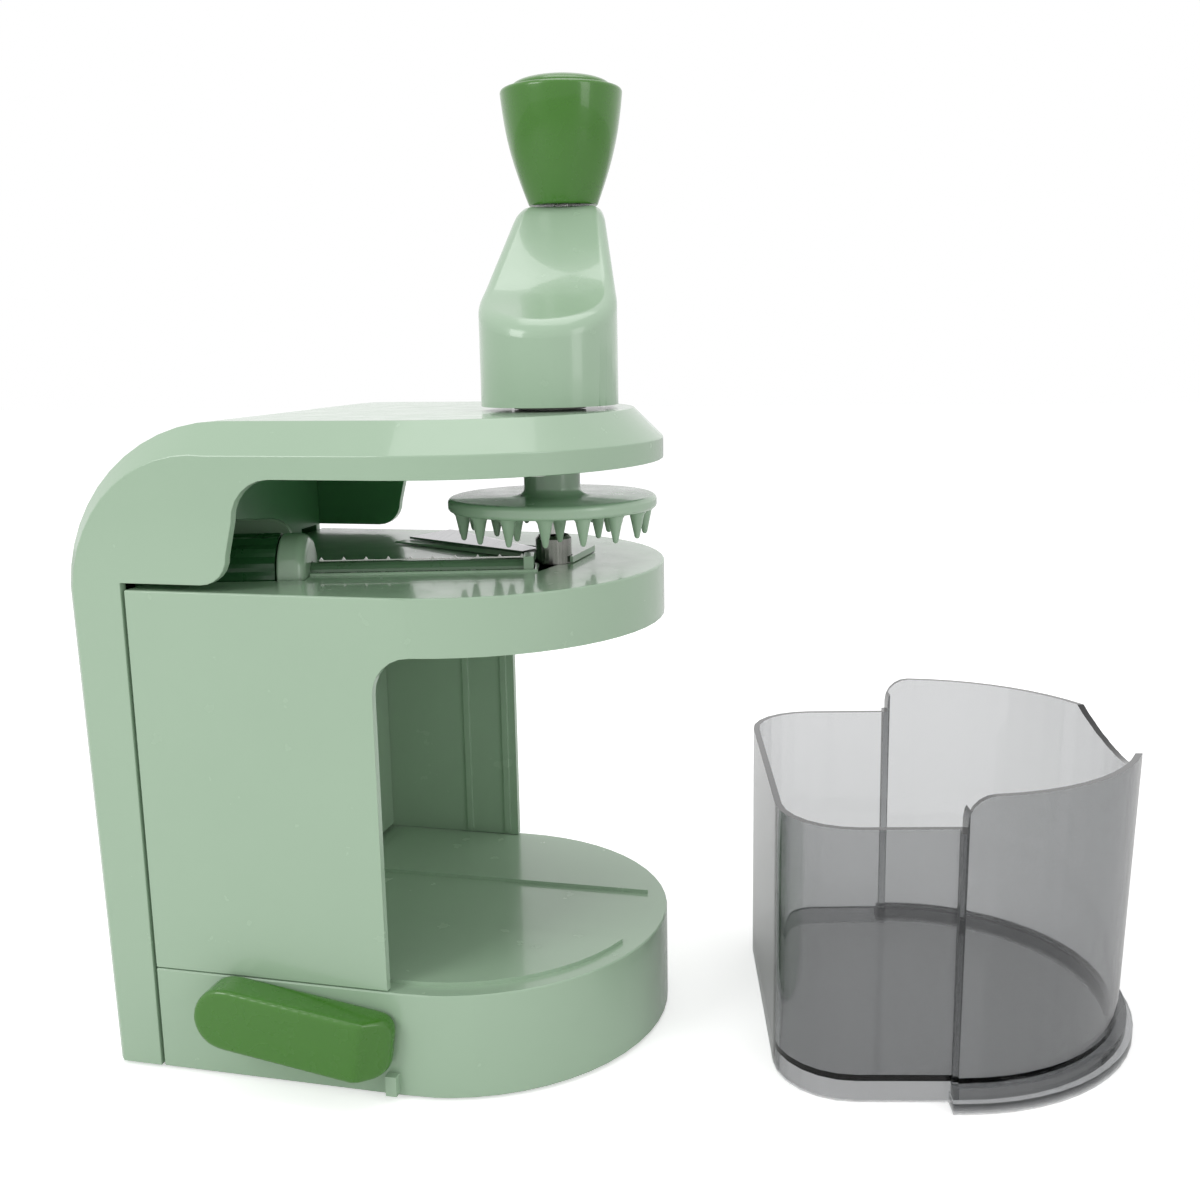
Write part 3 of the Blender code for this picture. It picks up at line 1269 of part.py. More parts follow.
def make_rod_buffer(name, side):
    """A rubber ring at the foot of a rod that the lowered head rests on."""
    low = COLUMN_FOOT + BRACKET_HEIGHT + SEAM
    high = low + BUFFER_HEIGHT
    bore = ROD_RADIUS + SEAM
    outer = bore + BUFFER_WALL
    profile = [(outer, high), (outer, low), (bore, low), (bore, high)]
    return turned(name, profile, (-ROD_X, side * ROD_Y, 0), material(name, RUBBER, 0.8),
                  steps=PIN_STEPS, closed=True)


def make_guide_shoe(name, side):
    """A long shoe inside the rear strip that rides on a rod."""
    low = COLUMN_FOOT + BRACKET_HEIGHT + BUFFER_HEIGHT + 2 * SEAM
    rear = -HEAD_REAR_FOOT + HEAD_WALL + SEAM
    front = -COLUMN_REAR - SEAM
    half = SHOE_HALF_WIDTH
    shoe = box(name, (rear, side * ROD_Y - half, low), (front, side * ROD_Y + half, low + SHOE_HEIGHT),
               material(name, NYLON, 0.45))
    cut(shoe, cylinder(name + "_bore", (-ROD_X, side * ROD_Y, low - OVERCUT), SHOE_HEIGHT + 2 * OVERCUT,
                       ROD_RADIUS + RUNNING_GAP, steps=PIN_STEPS))
    return shoe


def make_spindle():
    """The steel shaft from the food holder up into the crank."""
    low = HOLDER_TOP + HOLDER_THICKNESS / 2
    spindle = cylinder("spindle", (TUBE_X, 0, low), CRANK_FOOT + SPINDLE_IN_CRANK - low, SPINDLE_RADIUS,
                       "Z",
                       metal("spindle"), steps=ROUND_STEPS)
    for name, height in (("drive_hole", CRANK_FOOT + DRIVE_PIN_HEIGHT),
                         ("holder_hole", holder_pin_height())):
        cut(spindle, cylinder(name, (TUBE_X - BEYOND / 2, 0, height), BEYOND, CROSS_PIN_RADIUS + SEAM, "X",
                              steps=SMALL_STEPS))
    return spindle


def holder_pin_height():
    return ARM_UNDERSIDE - HOLDER_PIN_DROP


def make_cross_pin(name, height, half_length):
    """A steel pin across the spindle."""
    return cylinder(name, (TUBE_X - half_length, 0, height), 2 * half_length, CROSS_PIN_RADIUS, "X",
                    metal(name),
                    steps=SMALL_STEPS)


def make_thrust_washer():
    low = ARM_TOP + RUNNING_GAP
    high = low + WASHER_THICKNESS
    bore = SPINDLE_RADIUS + RUNNING_GAP
    profile = [(WASHER_RADIUS, high), (WASHER_RADIUS, low), (bore, low), (bore, high)]
    return turned("thrust_washer", profile, (TUBE_X, 0, 0), material("thrust_washer", NYLON, 0.45),
                  closed=True)


def crank_place():
    """The crank's own frame: X from the spindle to the knob, Z up from the hub's foot."""
    return Matrix.Translation((TUBE_X, 0.0, CRANK_FOOT)) @ Matrix.Rotation(CRANK_HEADING, 4, "Z")


def crank_plan(inset):
    """The crank from above: the hull of the round hub and the smaller round end."""
    hub = HUB_RADIUS - inset
    end = CRANK_END_RADIUS - inset
    lean = math.acos((hub - end) / CRANK_OFFSET)
    outline = arc((0.0, 0.0), hub, lean, math.tau - lean, 24)
    outline += arc((CRANK_OFFSET, 0.0), end, -lean, lean, 12)
    return outline


def crank_top():
    """The crank's upper outline from the hub's front to the knob's seat, as (run, height)."""
    return [(-HUB_RADIUS, HUB_FRONT_HEIGHT), (0.0, HUB_SIDE_HEIGHT),
            (CRANK_OFFSET - CRANK_SEAT_RUN, CRANK_SEAT_HEIGHT - CRANK_BROW_DROP),
            (CRANK_OFFSET - CRANK_BROW_RUN, CRANK_SEAT_HEIGHT)]


def crank_underside():
    """The crank's lower outline from the end back to the hub, as (run, height)."""
    end_low = CRANK_SEAT_HEIGHT - CRANK_END_DEPTH
    heel = HUB_RADIUS + CRANK_HEEL_MARGIN
    return [(CRANK_OFFSET + CRANK_END_RADIUS, end_low), (CRANK_OFFSET - CRANK_ELBOW_RUN,
                                                         CRANK_ELBOW_HEIGHT),
            (heel, CRANK_HEEL_HEIGHT), (heel - CRANK_HEEL_LEAN, 0.0)]


def side_section(name, outline, half_width):
    """A section along the crank carried across it."""
    return plate(name, outline, -half_width, half_width, "Y", place=crank_place())


def make_crank_arm():
    """The crank: a round hub that sweeps up to the knob's seat, hollow from below."""
    top = CRANK_SEAT_HEIGHT + OVERCUT
    crank = plate("crank_arm", crank_plan(0.0), 0.0, top, finish=plastic("crank_arm", SAGE),
                  place=crank_place())
    far = CRANK_OFFSET + CRANK_END_RADIUS + BEYOND
    upper = crank_top()
    outline = [(-far, 0.0), (-far, upper[0][1]), *upper, (far, CRANK_SEAT_HEIGHT),
               (far, crank_underside()[0][1]),
               *crank_underside()]
    keep_inside(crank, side_section("crank_section", outline, 2 * HUB_RADIUS))
    wall = CRANK_WALL
    hollow = plate("crank_hollow", crank_plan(wall), -OVERCUT, top, place=crank_place())
    slope_wall = wall * CRANK_SLOPE_SHARE
    inner = [(-far, -2 * OVERCUT), (-far, upper[0][1] - wall)]
    inner += [(run, height - slope_wall) for run, height in upper]
    inner += [(far, CRANK_SEAT_HEIGHT - wall), (far, -2 * OVERCUT)]
    keep_inside(hollow, side_section("hollow_section", inner, 2 * HUB_RADIUS))
    cut(hollow, cylinder("crank_boss", (TUBE_X, 0, CRANK_FOOT - BEYOND), top + BEYOND, CRANK_BOSS_RADIUS))
    cut(crank, hollow)
    seat_post = KNOB_PIN_ROOT + 2 * SEAM
    join(crank, cylinder("pin_post", (CRANK_END_X, CRANK_END_Y, CRANK_SEAT - seat_post),
                         seat_post - wall / 2,
                         2 * KNOB_PIN_RADIUS))
    cut(crank, cylinder("spindle_socket", (TUBE_X, 0, CRANK_FOOT - OVERCUT),
                        SPINDLE_IN_CRANK + OVERCUT + SEAM,
                        SPINDLE_RADIUS + SEAM))
    cut(crank, cylinder("pin_socket", (CRANK_END_X, CRANK_END_Y, CRANK_SEAT - KNOB_PIN_ROOT - SEAM),
                        KNOB_PIN_ROOT + BEYOND, KNOB_PIN_RADIUS + SEAM, steps=PIN_STEPS))
    cut(crank, cylinder("drive_pin_hole", (TUBE_X - CRANK_BOSS_RADIUS - OVERCUT, 0,
                                           CRANK_FOOT + DRIVE_PIN_HEIGHT),
                        2 * CRANK_BOSS_RADIUS + 2 * OVERCUT, CROSS_PIN_RADIUS + SEAM, "X",
                        steps=SMALL_STEPS))
    return crank


def make_crank_arm_cover():
    """The cover that closes the crank's sloping underside."""
    cover = plate("crank_arm_cover", crank_plan(CRANK_WALL + SEAM), 0.0, CRANK_SEAT_HEIGHT,
                  finish=plastic("crank_arm_cover", SAGE_DARK), place=crank_place())
    under = crank_underside()
    run_low = HUB_RADIUS - CRANK_WALL - SEAM
    end = (CRANK_OFFSET + 2 * CRANK_END_RADIUS, under[0][1])
    elbow = under[1]
    heel = under[2]
    tab = (run_low - CRANK_COVER_TAB, 2 * SEAM)
    thick = CRANK_COVER_THICKNESS
    outline = [end, elbow, heel, (heel[0], tab[1]), tab, (tab[0], tab[1] + thick),
               (heel[0] - thick, tab[1] + thick + CRANK_COVER_TAB), (elbow[0] - thick, elbow[1] + thick),
               (end[0], end[1] + thick)]
    keep_inside(cover, side_section("cover_section", outline, 2 * HUB_RADIUS))
    return cover


def make_food_holder():
    """The toothed disc that grips and turns the vegetable."""
    neck_top = ARM_UNDERSIDE - SEAM
    disc = HOLDER_RADIUS
    edge = HOLDER_EDGE
    profile = [(0.0, neck_top), (NECK_RADIUS, neck_top), (NECK_RADIUS, HOLDER_TOP + NECK_FLARE),
               (NECK_RADIUS + 0.3 * NECK_FLARE, HOLDER_TOP + 0.3 * NECK_FLARE),
               (NECK_RADIUS + NECK_FLARE, HOLDER_TOP),
               (disc - edge, HOLDER_TOP), (disc, HOLDER_TOP - edge), (disc, HOLDER_UNDERSIDE + edge),
               (disc - edge, HOLDER_UNDERSIDE), (0.0, HOLDER_UNDERSIDE)]
    holder = turned("food_holder", profile, (TUBE_X, 0, 0), plastic("food_holder", SAGE), steps=36)
    teeth = bmesh.new()
    for radius, count in TOOTH_RINGS:
        for x, y in moved(ring(radius, count, start=math.pi / count), TUBE_X, 0.0):
            add_cone(teeth, (x, y, HOLDER_UNDERSIDE - TOOTH_LENGTH),
                     TOOTH_LENGTH + HOLDER_THICKNESS / 3, TOOTH_TIP,
                     TOOTH_ROOT, "Z", TOOTH_SIDES)
    join(holder, finish_mesh("holder_teeth", teeth, None))
    cut(holder, cylinder("holder_socket", (TUBE_X, 0, HOLDER_TOP + HOLDER_THICKNESS / 2 - SEAM), BEYOND,
                         SPINDLE_RADIUS + SEAM))
    cut(holder, cylinder("pin_seat", (TUBE_X, 0, HOLDER_UNDERSIDE - OVERCUT),
                         OVERCUT + CENTRE_PIN_SEAT + SEAM,
                         CENTRE_PIN_RADIUS + SEAM, steps=PIN_STEPS))
    cut(holder, cylinder("holder_pin_hole", (TUBE_X - BEYOND / 2, 0, holder_pin_height()), BEYOND,
                         CROSS_PIN_RADIUS + SEAM, "X", steps=SMALL_STEPS))
    return holder


def make_holder_centre_pin():
    """The steel pin under the disc, in line with the coring tube."""
    top = HOLDER_UNDERSIDE + CENTRE_PIN_SEAT
    tip = HOLDER_UNDERSIDE - CENTRE_PIN_REACH
    radius = CENTRE_PIN_RADIUS
    profile = [(0.0, top), (radius, top), (radius, tip + radius), (0.4 * radius, tip), (0.0, tip)]
    return turned("holder_centre_pin", profile, (TUBE_X, 0, 0), metal("holder_centre_pin"), steps=PIN_STEPS)


def make_knob_pin():
    """The headed pin that the crank's knob turns on."""
    low = CRANK_SEAT - KNOB_PIN_ROOT
    neck = KNOB_FOOT + KNOB_BORE_HEIGHT + RUNNING_GAP
    top = neck + KNOB_PIN_HEAD_HEIGHT
    radius = KNOB_PIN_RADIUS
    profile = [(0.0, top), (KNOB_PIN_HEAD_RADIUS, top), (KNOB_PIN_HEAD_RADIUS, neck), (radius, neck),
               (radius, low), (0.0, low)]
    return turned("knob_pin", profile, (CRANK_END_X, CRANK_END_Y, 0), metal("knob_pin"), steps=PIN_STEPS)


def make_crank_knob():
    """The flared green knob, bored for its pin and hollow above it."""
    outer = []
    steps = 8
    for index in range(steps + 1):
        share = index / steps
        radius = KNOB_FOOT_RADIUS + (KNOB_TOP_RADIUS - KNOB_FOOT_RADIUS) * share
        outer.append((radius + KNOB_SWELL * math.sin(math.pi * share), KNOB_FOOT + KNOB_HEIGHT * share))
    outer.reverse()
    bore = KNOB_PIN_RADIUS + RUNNING_GAP
    shelf = KNOB_FOOT + KNOB_BORE_HEIGHT
    seat = KNOB_RIM - KNOB_CAP_SEAT
    cap = KNOB_CAP_RADIUS + SEAM
    profile = outer + [(bore, KNOB_FOOT), (bore, shelf), (KNOB_WELL_RADIUS, shelf),
                       (KNOB_WELL_RADIUS, seat),
                       (cap, seat), (cap, KNOB_RIM)]
    return turned("crank_knob", profile, (CRANK_END_X, CRANK_END_Y, 0), plastic("crank_knob", LEAF),
                  steps=32, closed=True)


def make_knob_cap():
    """The domed cap in the top of the crank's knob."""
    low = KNOB_RIM - KNOB_CAP_SEAT + SEAM
    top = KNOB_RIM + KNOB_CAP_RISE
    radius = KNOB_CAP_RADIUS
    profile = [(0.0, top), (0.5 * radius, top - 0.2 * KNOB_CAP_RISE),
               (0.85 * radius, KNOB_RIM + 0.35 * KNOB_CAP_RISE),
               (radius, KNOB_RIM), (radius, low), (0.0, low)]
    return turned("knob_cap", profile, (CRANK_END_X, CRANK_END_Y, 0), plastic("knob_cap", LEAF), steps=32)


def container_place():
    return Matrix.Translation((CONTAINER_X, CONTAINER_Y, 0.0)) @ Matrix.Rotation(CONTAINER_YAW, 4, "Z")


def container_narrow_plan(inset):
    """The container's rear part from above: straight sides and rounded rear corners."""
    half = BAY_HALF_WIDTH - BAY_RIB_RISE - CONTAINER_SIDE_GAP - inset
    rear = -BAY_REAR + BACK_PANEL_RISE + CONTAINER_END_GAP + inset
    corner = CONTAINER_CORNER - inset
    outline = [(BAY_FRONT, -half), (BAY_FRONT, half)]
    outline += arc((rear + corner, half - corner), corner, math.pi / 2, math.pi, 6)
    outline += arc((rear + corner, corner - half), corner, math.pi, 3 * math.pi / 2, 6)
    return outline


def container_wide_plan(radius, start):
    """The container's front part from above: a half round that starts in front of the bay's walls."""
    lean = math.asin(max(start, 0.0) / radius)
    nose = arc((0.0, 0.0), radius, lean - math.pi / 2, math.pi / 2 - lean, NOSE_STEPS)
    if start < 0.0:
        nose += [(start, radius), (start, -radius)]
    return nose


def container_wide_form(name, inset, low, high):
    """The front part with its draft: wider at the top than at the foot."""
    foot_radius = BODY_RADIUS - CONTAINER_FRONT_GAP - CONTAINER_DRAFT - inset
    slope = CONTAINER_DRAFT / CONTAINER_HEIGHT
    start = 3 * SEAM - BAY_FRONT + inset
    rings = []
    for z in (low, high):
        rings.append([(x, y, z) for x, y in container_wide_plan(foot_radius + slope * z, start)])
    return loft(name, rings)


def make_container():
    """The smoky clear catch container: a narrow rear, a wide front and a stepped foot."""
    tall = CONTAINER_HEIGHT
    wall = CONTAINER_WALL
    body = plate("container", container_narrow_plan(0.0), 0.0, tall,
                 finish=material("container", SMOKE, 0.08, alpha=0.35))
    join(body, container_wide_form("container_front", 0.0, CONTAINER_TIER / 2, tall))
    tier_radius = BODY_RADIUS - CONTAINER_FRONT_GAP
    tier_start = 2 * SEAM - BAY_FRONT
    join(body, plate("container_tier", container_wide_plan(tier_radius, tier_start), CONTAINER_TIER / 4,
                     2 * CONTAINER_TIER))
    flange_radius = tier_radius + CONTAINER_FLANGE
    join(body, plate("container_flange", container_wide_plan(flange_radius, SEAM - BAY_FRONT), 0.0,
                     CONTAINER_TIER))
    floor = CONTAINER_FLOOR_RISE + wall
    space = plate("container_space", container_narrow_plan(wall), floor, tall + BEYOND)
    join(space, container_wide_form("container_front_space", wall, floor, tall + BEYOND))
    cut(body, space)
    under = plate("container_hollow_foot", container_narrow_plan(wall), -OVERCUT, CONTAINER_FLOOR_RISE)
    join(under, container_wide_form("container_front_foot", wall, -OVERCUT, CONTAINER_FLOOR_RISE))
    cut(body, under)
    lip = CONTAINER_LIP_ROUND
    start = -BAY_FRONT
    outline = [(start - 2 * BODY_REAR, CONTAINER_REAR_HEIGHT), (start + wall, CONTAINER_REAR_HEIGHT)]
    outline += arc((start + wall + lip, tall - lip), lip, math.pi, math.pi / 2, 5)
    outline += [(start + wall + lip, tall + BEYOND), (start - 2 * BODY_REAR, tall + BEYOND)]
    cut(body, plate("container_rim", outline, -2 * BODY_RADIUS, 2 * BODY_RADIUS, "Y"))
    radius = (SCOOP_HALF_WIDTH ** 2 + SCOOP_DEPTH ** 2) / (2 * SCOOP_DEPTH)
    outline = [(y, z + tall - SCOOP_DEPTH + radius) for y, z in ring(radius, 2 * NOSE_STEPS)]
    cut(body, plate("container_scoop", outline, BODY_RADIUS / 3, BODY_RADIUS + BEYOND, "X"))
    return settle(body, container_place())


def main():
    """Build every piece and hang the moving ones on their pivots."""
    make_base_housing()
    make_base_bottom_plate()
    make_base_screws()
    make_rear_feet()
    make_suction_pad()
    make_pad_clamp_ring()
    make_axle_saddle()
    make_body_housing()
    make_deck_underplate()
    make_bay_rear_wall()
    make_rear_column()
    for side, way in (("left", 1), ("right", -1)):
        make_guide_rod(f"guide_rod_{side}", way)
        make_rod_buffer(f"rod_buffer_{side}", way)
    make_blade_ramp()
    make_main_blade()
    make_blade_screws()
    make_core_tube()
    make_tube_nut()
    make_selector_cradle()
    make_selector_collar()
    make_selector_front_bearing()

    plunger = pivot("plunger_slide", (0, 0, 0))
    carry(plunger, make_pull_stud(), make_lift_yoke())

    lever = pivot("lever_pivot", (LEVER_PIVOT_X, -BODY_RADIUS, LEVER_PIVOT_Z))
    carry(lever, make_suction_lever(), make_lever_axle())

    selector = pivot("selector_pivot", (0, SELECTOR_Y, COMB_Z))
    selector.rotation_euler.z = SELECTOR_SLANT
    bpy.context.view_layer.update()
    carry(selector, make_comb_bar(), make_selector_knob())
    names = ("comb_coarse", "comb_medium", "comb_fine")
    for index, (name, pitch) in enumerate(zip(names, COMB_PITCHES)):
        carry(selector, make_comb(name, pitch, index * math.pi / 2))

    head = pivot("head_slide", (-ROD_X, 0, HEAD_FOOT))
    carry(head, make_lift_shell(), make_arm_cover(), *make_cover_screws(), make_spindle_bush())
    carry(head, make_guide_shoe("guide_shoe_left", 1), make_guide_shoe("guide_shoe_right", -1))

    crank = pivot("crank_pivot", (TUBE_X, 0, CRANK_FOOT))
    carry(head, crank)
    carry(crank, make_spindle(), make_thrust_washer(), make_crank_arm(), make_crank_arm_cover(),
          make_food_holder(),
          make_holder_centre_pin(), make_knob_pin())
    carry(crank, make_cross_pin("drive_pin", CRANK_FOOT + DRIVE_PIN_HEIGHT, CRANK_BOSS_RADIUS))
    carry(crank, make_cross_pin("holder_pin", holder_pin_height(), NECK_RADIUS - SEAM))

    knob = pivot("knob_pivot", (CRANK_END_X, CRANK_END_Y, KNOB_FOOT))
    carry(crank, knob)
    carry(knob, make_crank_knob(), make_knob_cap())

    holder = pivot("container_lift", (CONTAINER_X, CONTAINER_Y, 0))
    carry(holder, make_container())


clear_scene()
PARTS = new_collection("spiralizer")
CUTTERS = new_collection("cutters")
main()
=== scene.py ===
"""Looks of the hand-cranked spiralizer: moulded skins, steel, smoky clear container and a pale studio."""

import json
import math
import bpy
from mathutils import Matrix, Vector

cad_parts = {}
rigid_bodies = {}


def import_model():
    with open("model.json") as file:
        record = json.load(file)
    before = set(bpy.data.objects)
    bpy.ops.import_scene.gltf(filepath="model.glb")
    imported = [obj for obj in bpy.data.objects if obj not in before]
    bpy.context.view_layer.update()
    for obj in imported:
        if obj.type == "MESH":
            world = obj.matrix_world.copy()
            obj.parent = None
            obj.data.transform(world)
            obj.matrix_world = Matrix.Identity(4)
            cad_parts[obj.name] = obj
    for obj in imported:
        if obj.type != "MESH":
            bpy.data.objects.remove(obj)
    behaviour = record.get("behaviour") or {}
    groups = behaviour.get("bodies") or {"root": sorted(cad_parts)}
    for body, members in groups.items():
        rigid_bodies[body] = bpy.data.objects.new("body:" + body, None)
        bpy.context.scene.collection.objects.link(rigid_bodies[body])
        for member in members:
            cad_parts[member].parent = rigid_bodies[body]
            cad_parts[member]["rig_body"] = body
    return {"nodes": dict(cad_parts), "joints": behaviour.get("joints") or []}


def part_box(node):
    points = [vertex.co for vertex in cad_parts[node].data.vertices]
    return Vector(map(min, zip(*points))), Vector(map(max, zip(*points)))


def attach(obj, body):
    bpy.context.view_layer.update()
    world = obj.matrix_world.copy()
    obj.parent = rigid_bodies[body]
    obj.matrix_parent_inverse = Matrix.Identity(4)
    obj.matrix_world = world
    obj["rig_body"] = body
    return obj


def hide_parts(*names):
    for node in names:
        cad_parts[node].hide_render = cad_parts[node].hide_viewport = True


bl_info = {
    "name": "Spiralizer Dresser",
    "version": (1, 0, 0),
    "blender": (4, 5, 0),
    "location": "View3D > Sidebar > Spiralizer",
    "description": "Builds the moulded skins, finishes and studio of a hand-cranked spiralizer",
    "category": "Object",
}

import bmesh
import bpy
from bpy.props import FloatProperty, FloatVectorProperty, IntProperty, PointerProperty
from mathutils import Matrix, Vector

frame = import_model()
NODES = frame["nodes"]
JOINTS = {joint["name"]: joint for joint in frame["joints"]}
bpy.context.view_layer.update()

MM = 0.001
# Corners nearer than this are one corner, and faces that differ by less than this angle are one flat.
WELD = 0.000002
FLAT_ANGLE = math.radians(0.6)
# A turned profile's point with a smaller radius lies on the axis.
ON_AXIS = 1e-7

# Scales of the finishes' noises
FLOW_SCALE = 22.0
HAZE_SCALE = 120.0
PEEL_SCALE = 380.0
BRUSH_SCALE = 900.0
BLOOM_SCALE = 60.0
PORE_SCALE = 700.0
FILM_SCALE = 90.0
RIPPLE_SCALE = 45.0
# The band of a noise's values that most of it lies in
NOISE_BAND = (0.3, 0.7)

# A face looks along an axis when this much of its normal lies on it.
SQUARE_ON = 0.7

# Where the container's rim and upright steps lie, from its own middle
RIM_FOOT = 70 * MM
STEP_RUN = (-5.0 * MM, 0.5 * MM)
STEP_SIDE = 55 * MM
STEP_FOOT = 8 * MM
EDGE_TURNED = 0.35

# The crank's smooth form lies this far inside its CAD faces, so that it trims them cleanly.
HUB_EASE = 0.06 * MM
END_EASE = 0.03 * MM
TOP_EASE = 0.05 * MM
SEAT_EASE = 0.02 * MM
KNOB_GAP = 0.6 * MM
# How the crank's slope runs out beyond the hub, how deep it sags there and how wide it rounds
RUN_OUT = 20 * MM
RUN_OUT_FALL = 8.3 * MM
SLOPE_SAG = 0.80 * MM
SLOPE_ROUND = 80 * MM
# Run before the knob's axis, drop and rounding of the slope's end, and run and rounding of the seat's edge
SLOPE_END = (13.0 * MM, 2.0 * MM, 6 * MM)
SEAT_EDGE = (7.8 * MM, 5 * MM)
FORM_FOOT = -2 * MM
HUB_STEPS = 48
END_STEPS = 32
FLANK_STEPS = 24
FILLET_STEPS = 8
INWARD_SHARES = (0.3, 0.6, 0.85, 1.0)

# Crank knob: its bore, its well for the cap and the cap's dome
KNOB_BORE = 3.3 * MM
KNOB_SHELF = 23.0 * MM
CAP_DEPTH = 2.0 * MM
CAP_GAP = 0.3 * MM
WELL_RADIUS = 12.5 * MM
KNOB_STEPS = 24
DOME_STEPS = 12
DOME_POWER = 0.9

# Food holder: the spindle's socket, the centre pin's hole and a tooth's outline from its tip and to its root
SOCKET_RADIUS = 4.3 * MM
PIN_HOLE = (3.8 * MM, 1.9 * MM)
NECK_SPREAD = 4.6 * MM
TEETH = (("outer_teeth_radius", 16), ("inner_teeth_radius", 8))
TOOTH_TIP = ((0.0, 0.0), (0.45 * MM, 0.12 * MM), (0.8 * MM, 0.6 * MM))
TOOTH_ROOT = ((2.2 * MM, -1.0 * MM), (2.75 * MM, -0.25 * MM), (3.1 * MM, 0.4 * MM), (0.0, 0.4 * MM))

# Name, place, width, height and setting of each lamp, and where they all look
SOFTBOXES = (
    ("key softbox", (-0.70, -0.95, 0.80), 0.50, 0.70, "key"),
    ("fill softbox", (1.10, -0.55, 0.55), 0.40, 0.80, "fill"),
    ("top softbox", (0.05, 0.10, 1.30), 0.80, 0.80, "top"),
)
LAMP_AIM = (0.04, 0.0, 0.14)
FLOOR_HALF = 4.0
WHITE = (1.0, 1.0, 1.0, 1.0)


def low(node):
    """Lowest corner of a frame node."""
    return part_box(node)[0]


def high(node):
    """Highest corner of a frame node."""
    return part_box(node)[1]


BODY_HALF = high("body_housing").y
BODY_REAR = -low("body_housing").x
ARM_TOP = high("lift_shell").z
CRANK_AXIS = Vector(JOINTS["crank_turn"]["pos_m"])
KNOB_AXIS = Vector(JOINTS["knob_spin"]["pos_m"])
SELECTOR_AXIS = Vector(JOINTS["selector_turn"]["pos_m"])


class FinishSettings(bpy.types.PropertyGroup):
    """Colours and gloss of the finishes."""

    sage: FloatVectorProperty(
        name="Sage", description="Body plastic", subtype="COLOR", default=(0.375, 0.520, 0.375), min=0, max=1)
    inner_sage: FloatVectorProperty(
        name="Inner sage", description="Plastic of the inner mouldings", subtype="COLOR",
        default=(0.300, 0.430, 0.315), min=0, max=1)
    leaf: FloatVectorProperty(
        name="Leaf", description="Crank knob and lever", subtype="COLOR", default=(0.046, 0.190, 0.008), min=0, max=1)
    pine: FloatVectorProperty(
        name="Pine", description="Selector knob and the head's lining", subtype="COLOR",
        default=(0.020, 0.085, 0.028), min=0, max=1)
    # The lining green is darker partly as the inner mouldings' own plastic and partly as painted shade of the head's
    # cave.
    lining_and_painted_shade: FloatVectorProperty(
        name="Lining", description="Inside of the head", subtype="COLOR", default=(0.130, 0.380, 0.165),
        min=0, max=1)
    comb: FloatVectorProperty(
        name="Comb", description="The turning comb bar", subtype="COLOR", default=(0.120, 0.215, 0.125),
        min=0, max=1)
    steel: FloatVectorProperty(
        name="Steel", description="Rods, tube, screws and pins", subtype="COLOR", default=(0.56, 0.56, 0.54),
        min=0, max=1)
    smoke: FloatVectorProperty(
        name="Smoke", description="Tint of the container's plastic", subtype="COLOR",
        default=(0.36, 0.37, 0.38), min=0, max=1)
    smoke_density: FloatProperty(
        name="Smoke density", description="How fast the clear plastic darkens with depth", default=450.0, min=0)
    gloss: FloatProperty(name="Gloss", description="Roughness of the polished mouldings", default=0.22, min=0, max=1)
    polish: FloatProperty(
        name="Polish", description="Weight of the clear gloss on the polished mouldings", default=0.45, min=0, max=1)


class ShellSettings(bpy.types.PropertyGroup):
    """Edge sizes of the moulded skins."""

    crease: FloatProperty(
        name="Crease", description="Rounding of the head's long creases", default=0.0024, unit="LENGTH")
    edge: FloatProperty(
        name="Edge", description="Rounding of the other moulded edges", default=0.0007, unit="LENGTH")
    # The lip is the edge band that keeps the sage round the darker lining and its painted shade.
    lip: FloatProperty(
        name="Lip", description="Width of the light lip round the head's lining", default=0.0018, unit="LENGTH")
    container_place: FloatVectorProperty(
        name="Container", description="Where the container stands", subtype="TRANSLATION",
        default=(0.1455, 0.0260, 0.0))
    container_yaw: FloatProperty(
        name="Container turn", description="How far the container is turned", default=math.radians(12.0),
        subtype="ANGLE")
    lever_grid: FloatProperty(
        name="Lever grid", description="Size of the grid that the lever is rounded on", default=0.00045,
        unit="LENGTH")
    lever_rounds: IntProperty(
        name="Lever rounding", description="Passes that round the lever's edges", default=60, min=0)
    segments: IntProperty(name="Segments", description="Steps in each rounded edge", default=4, min=1, max=8)


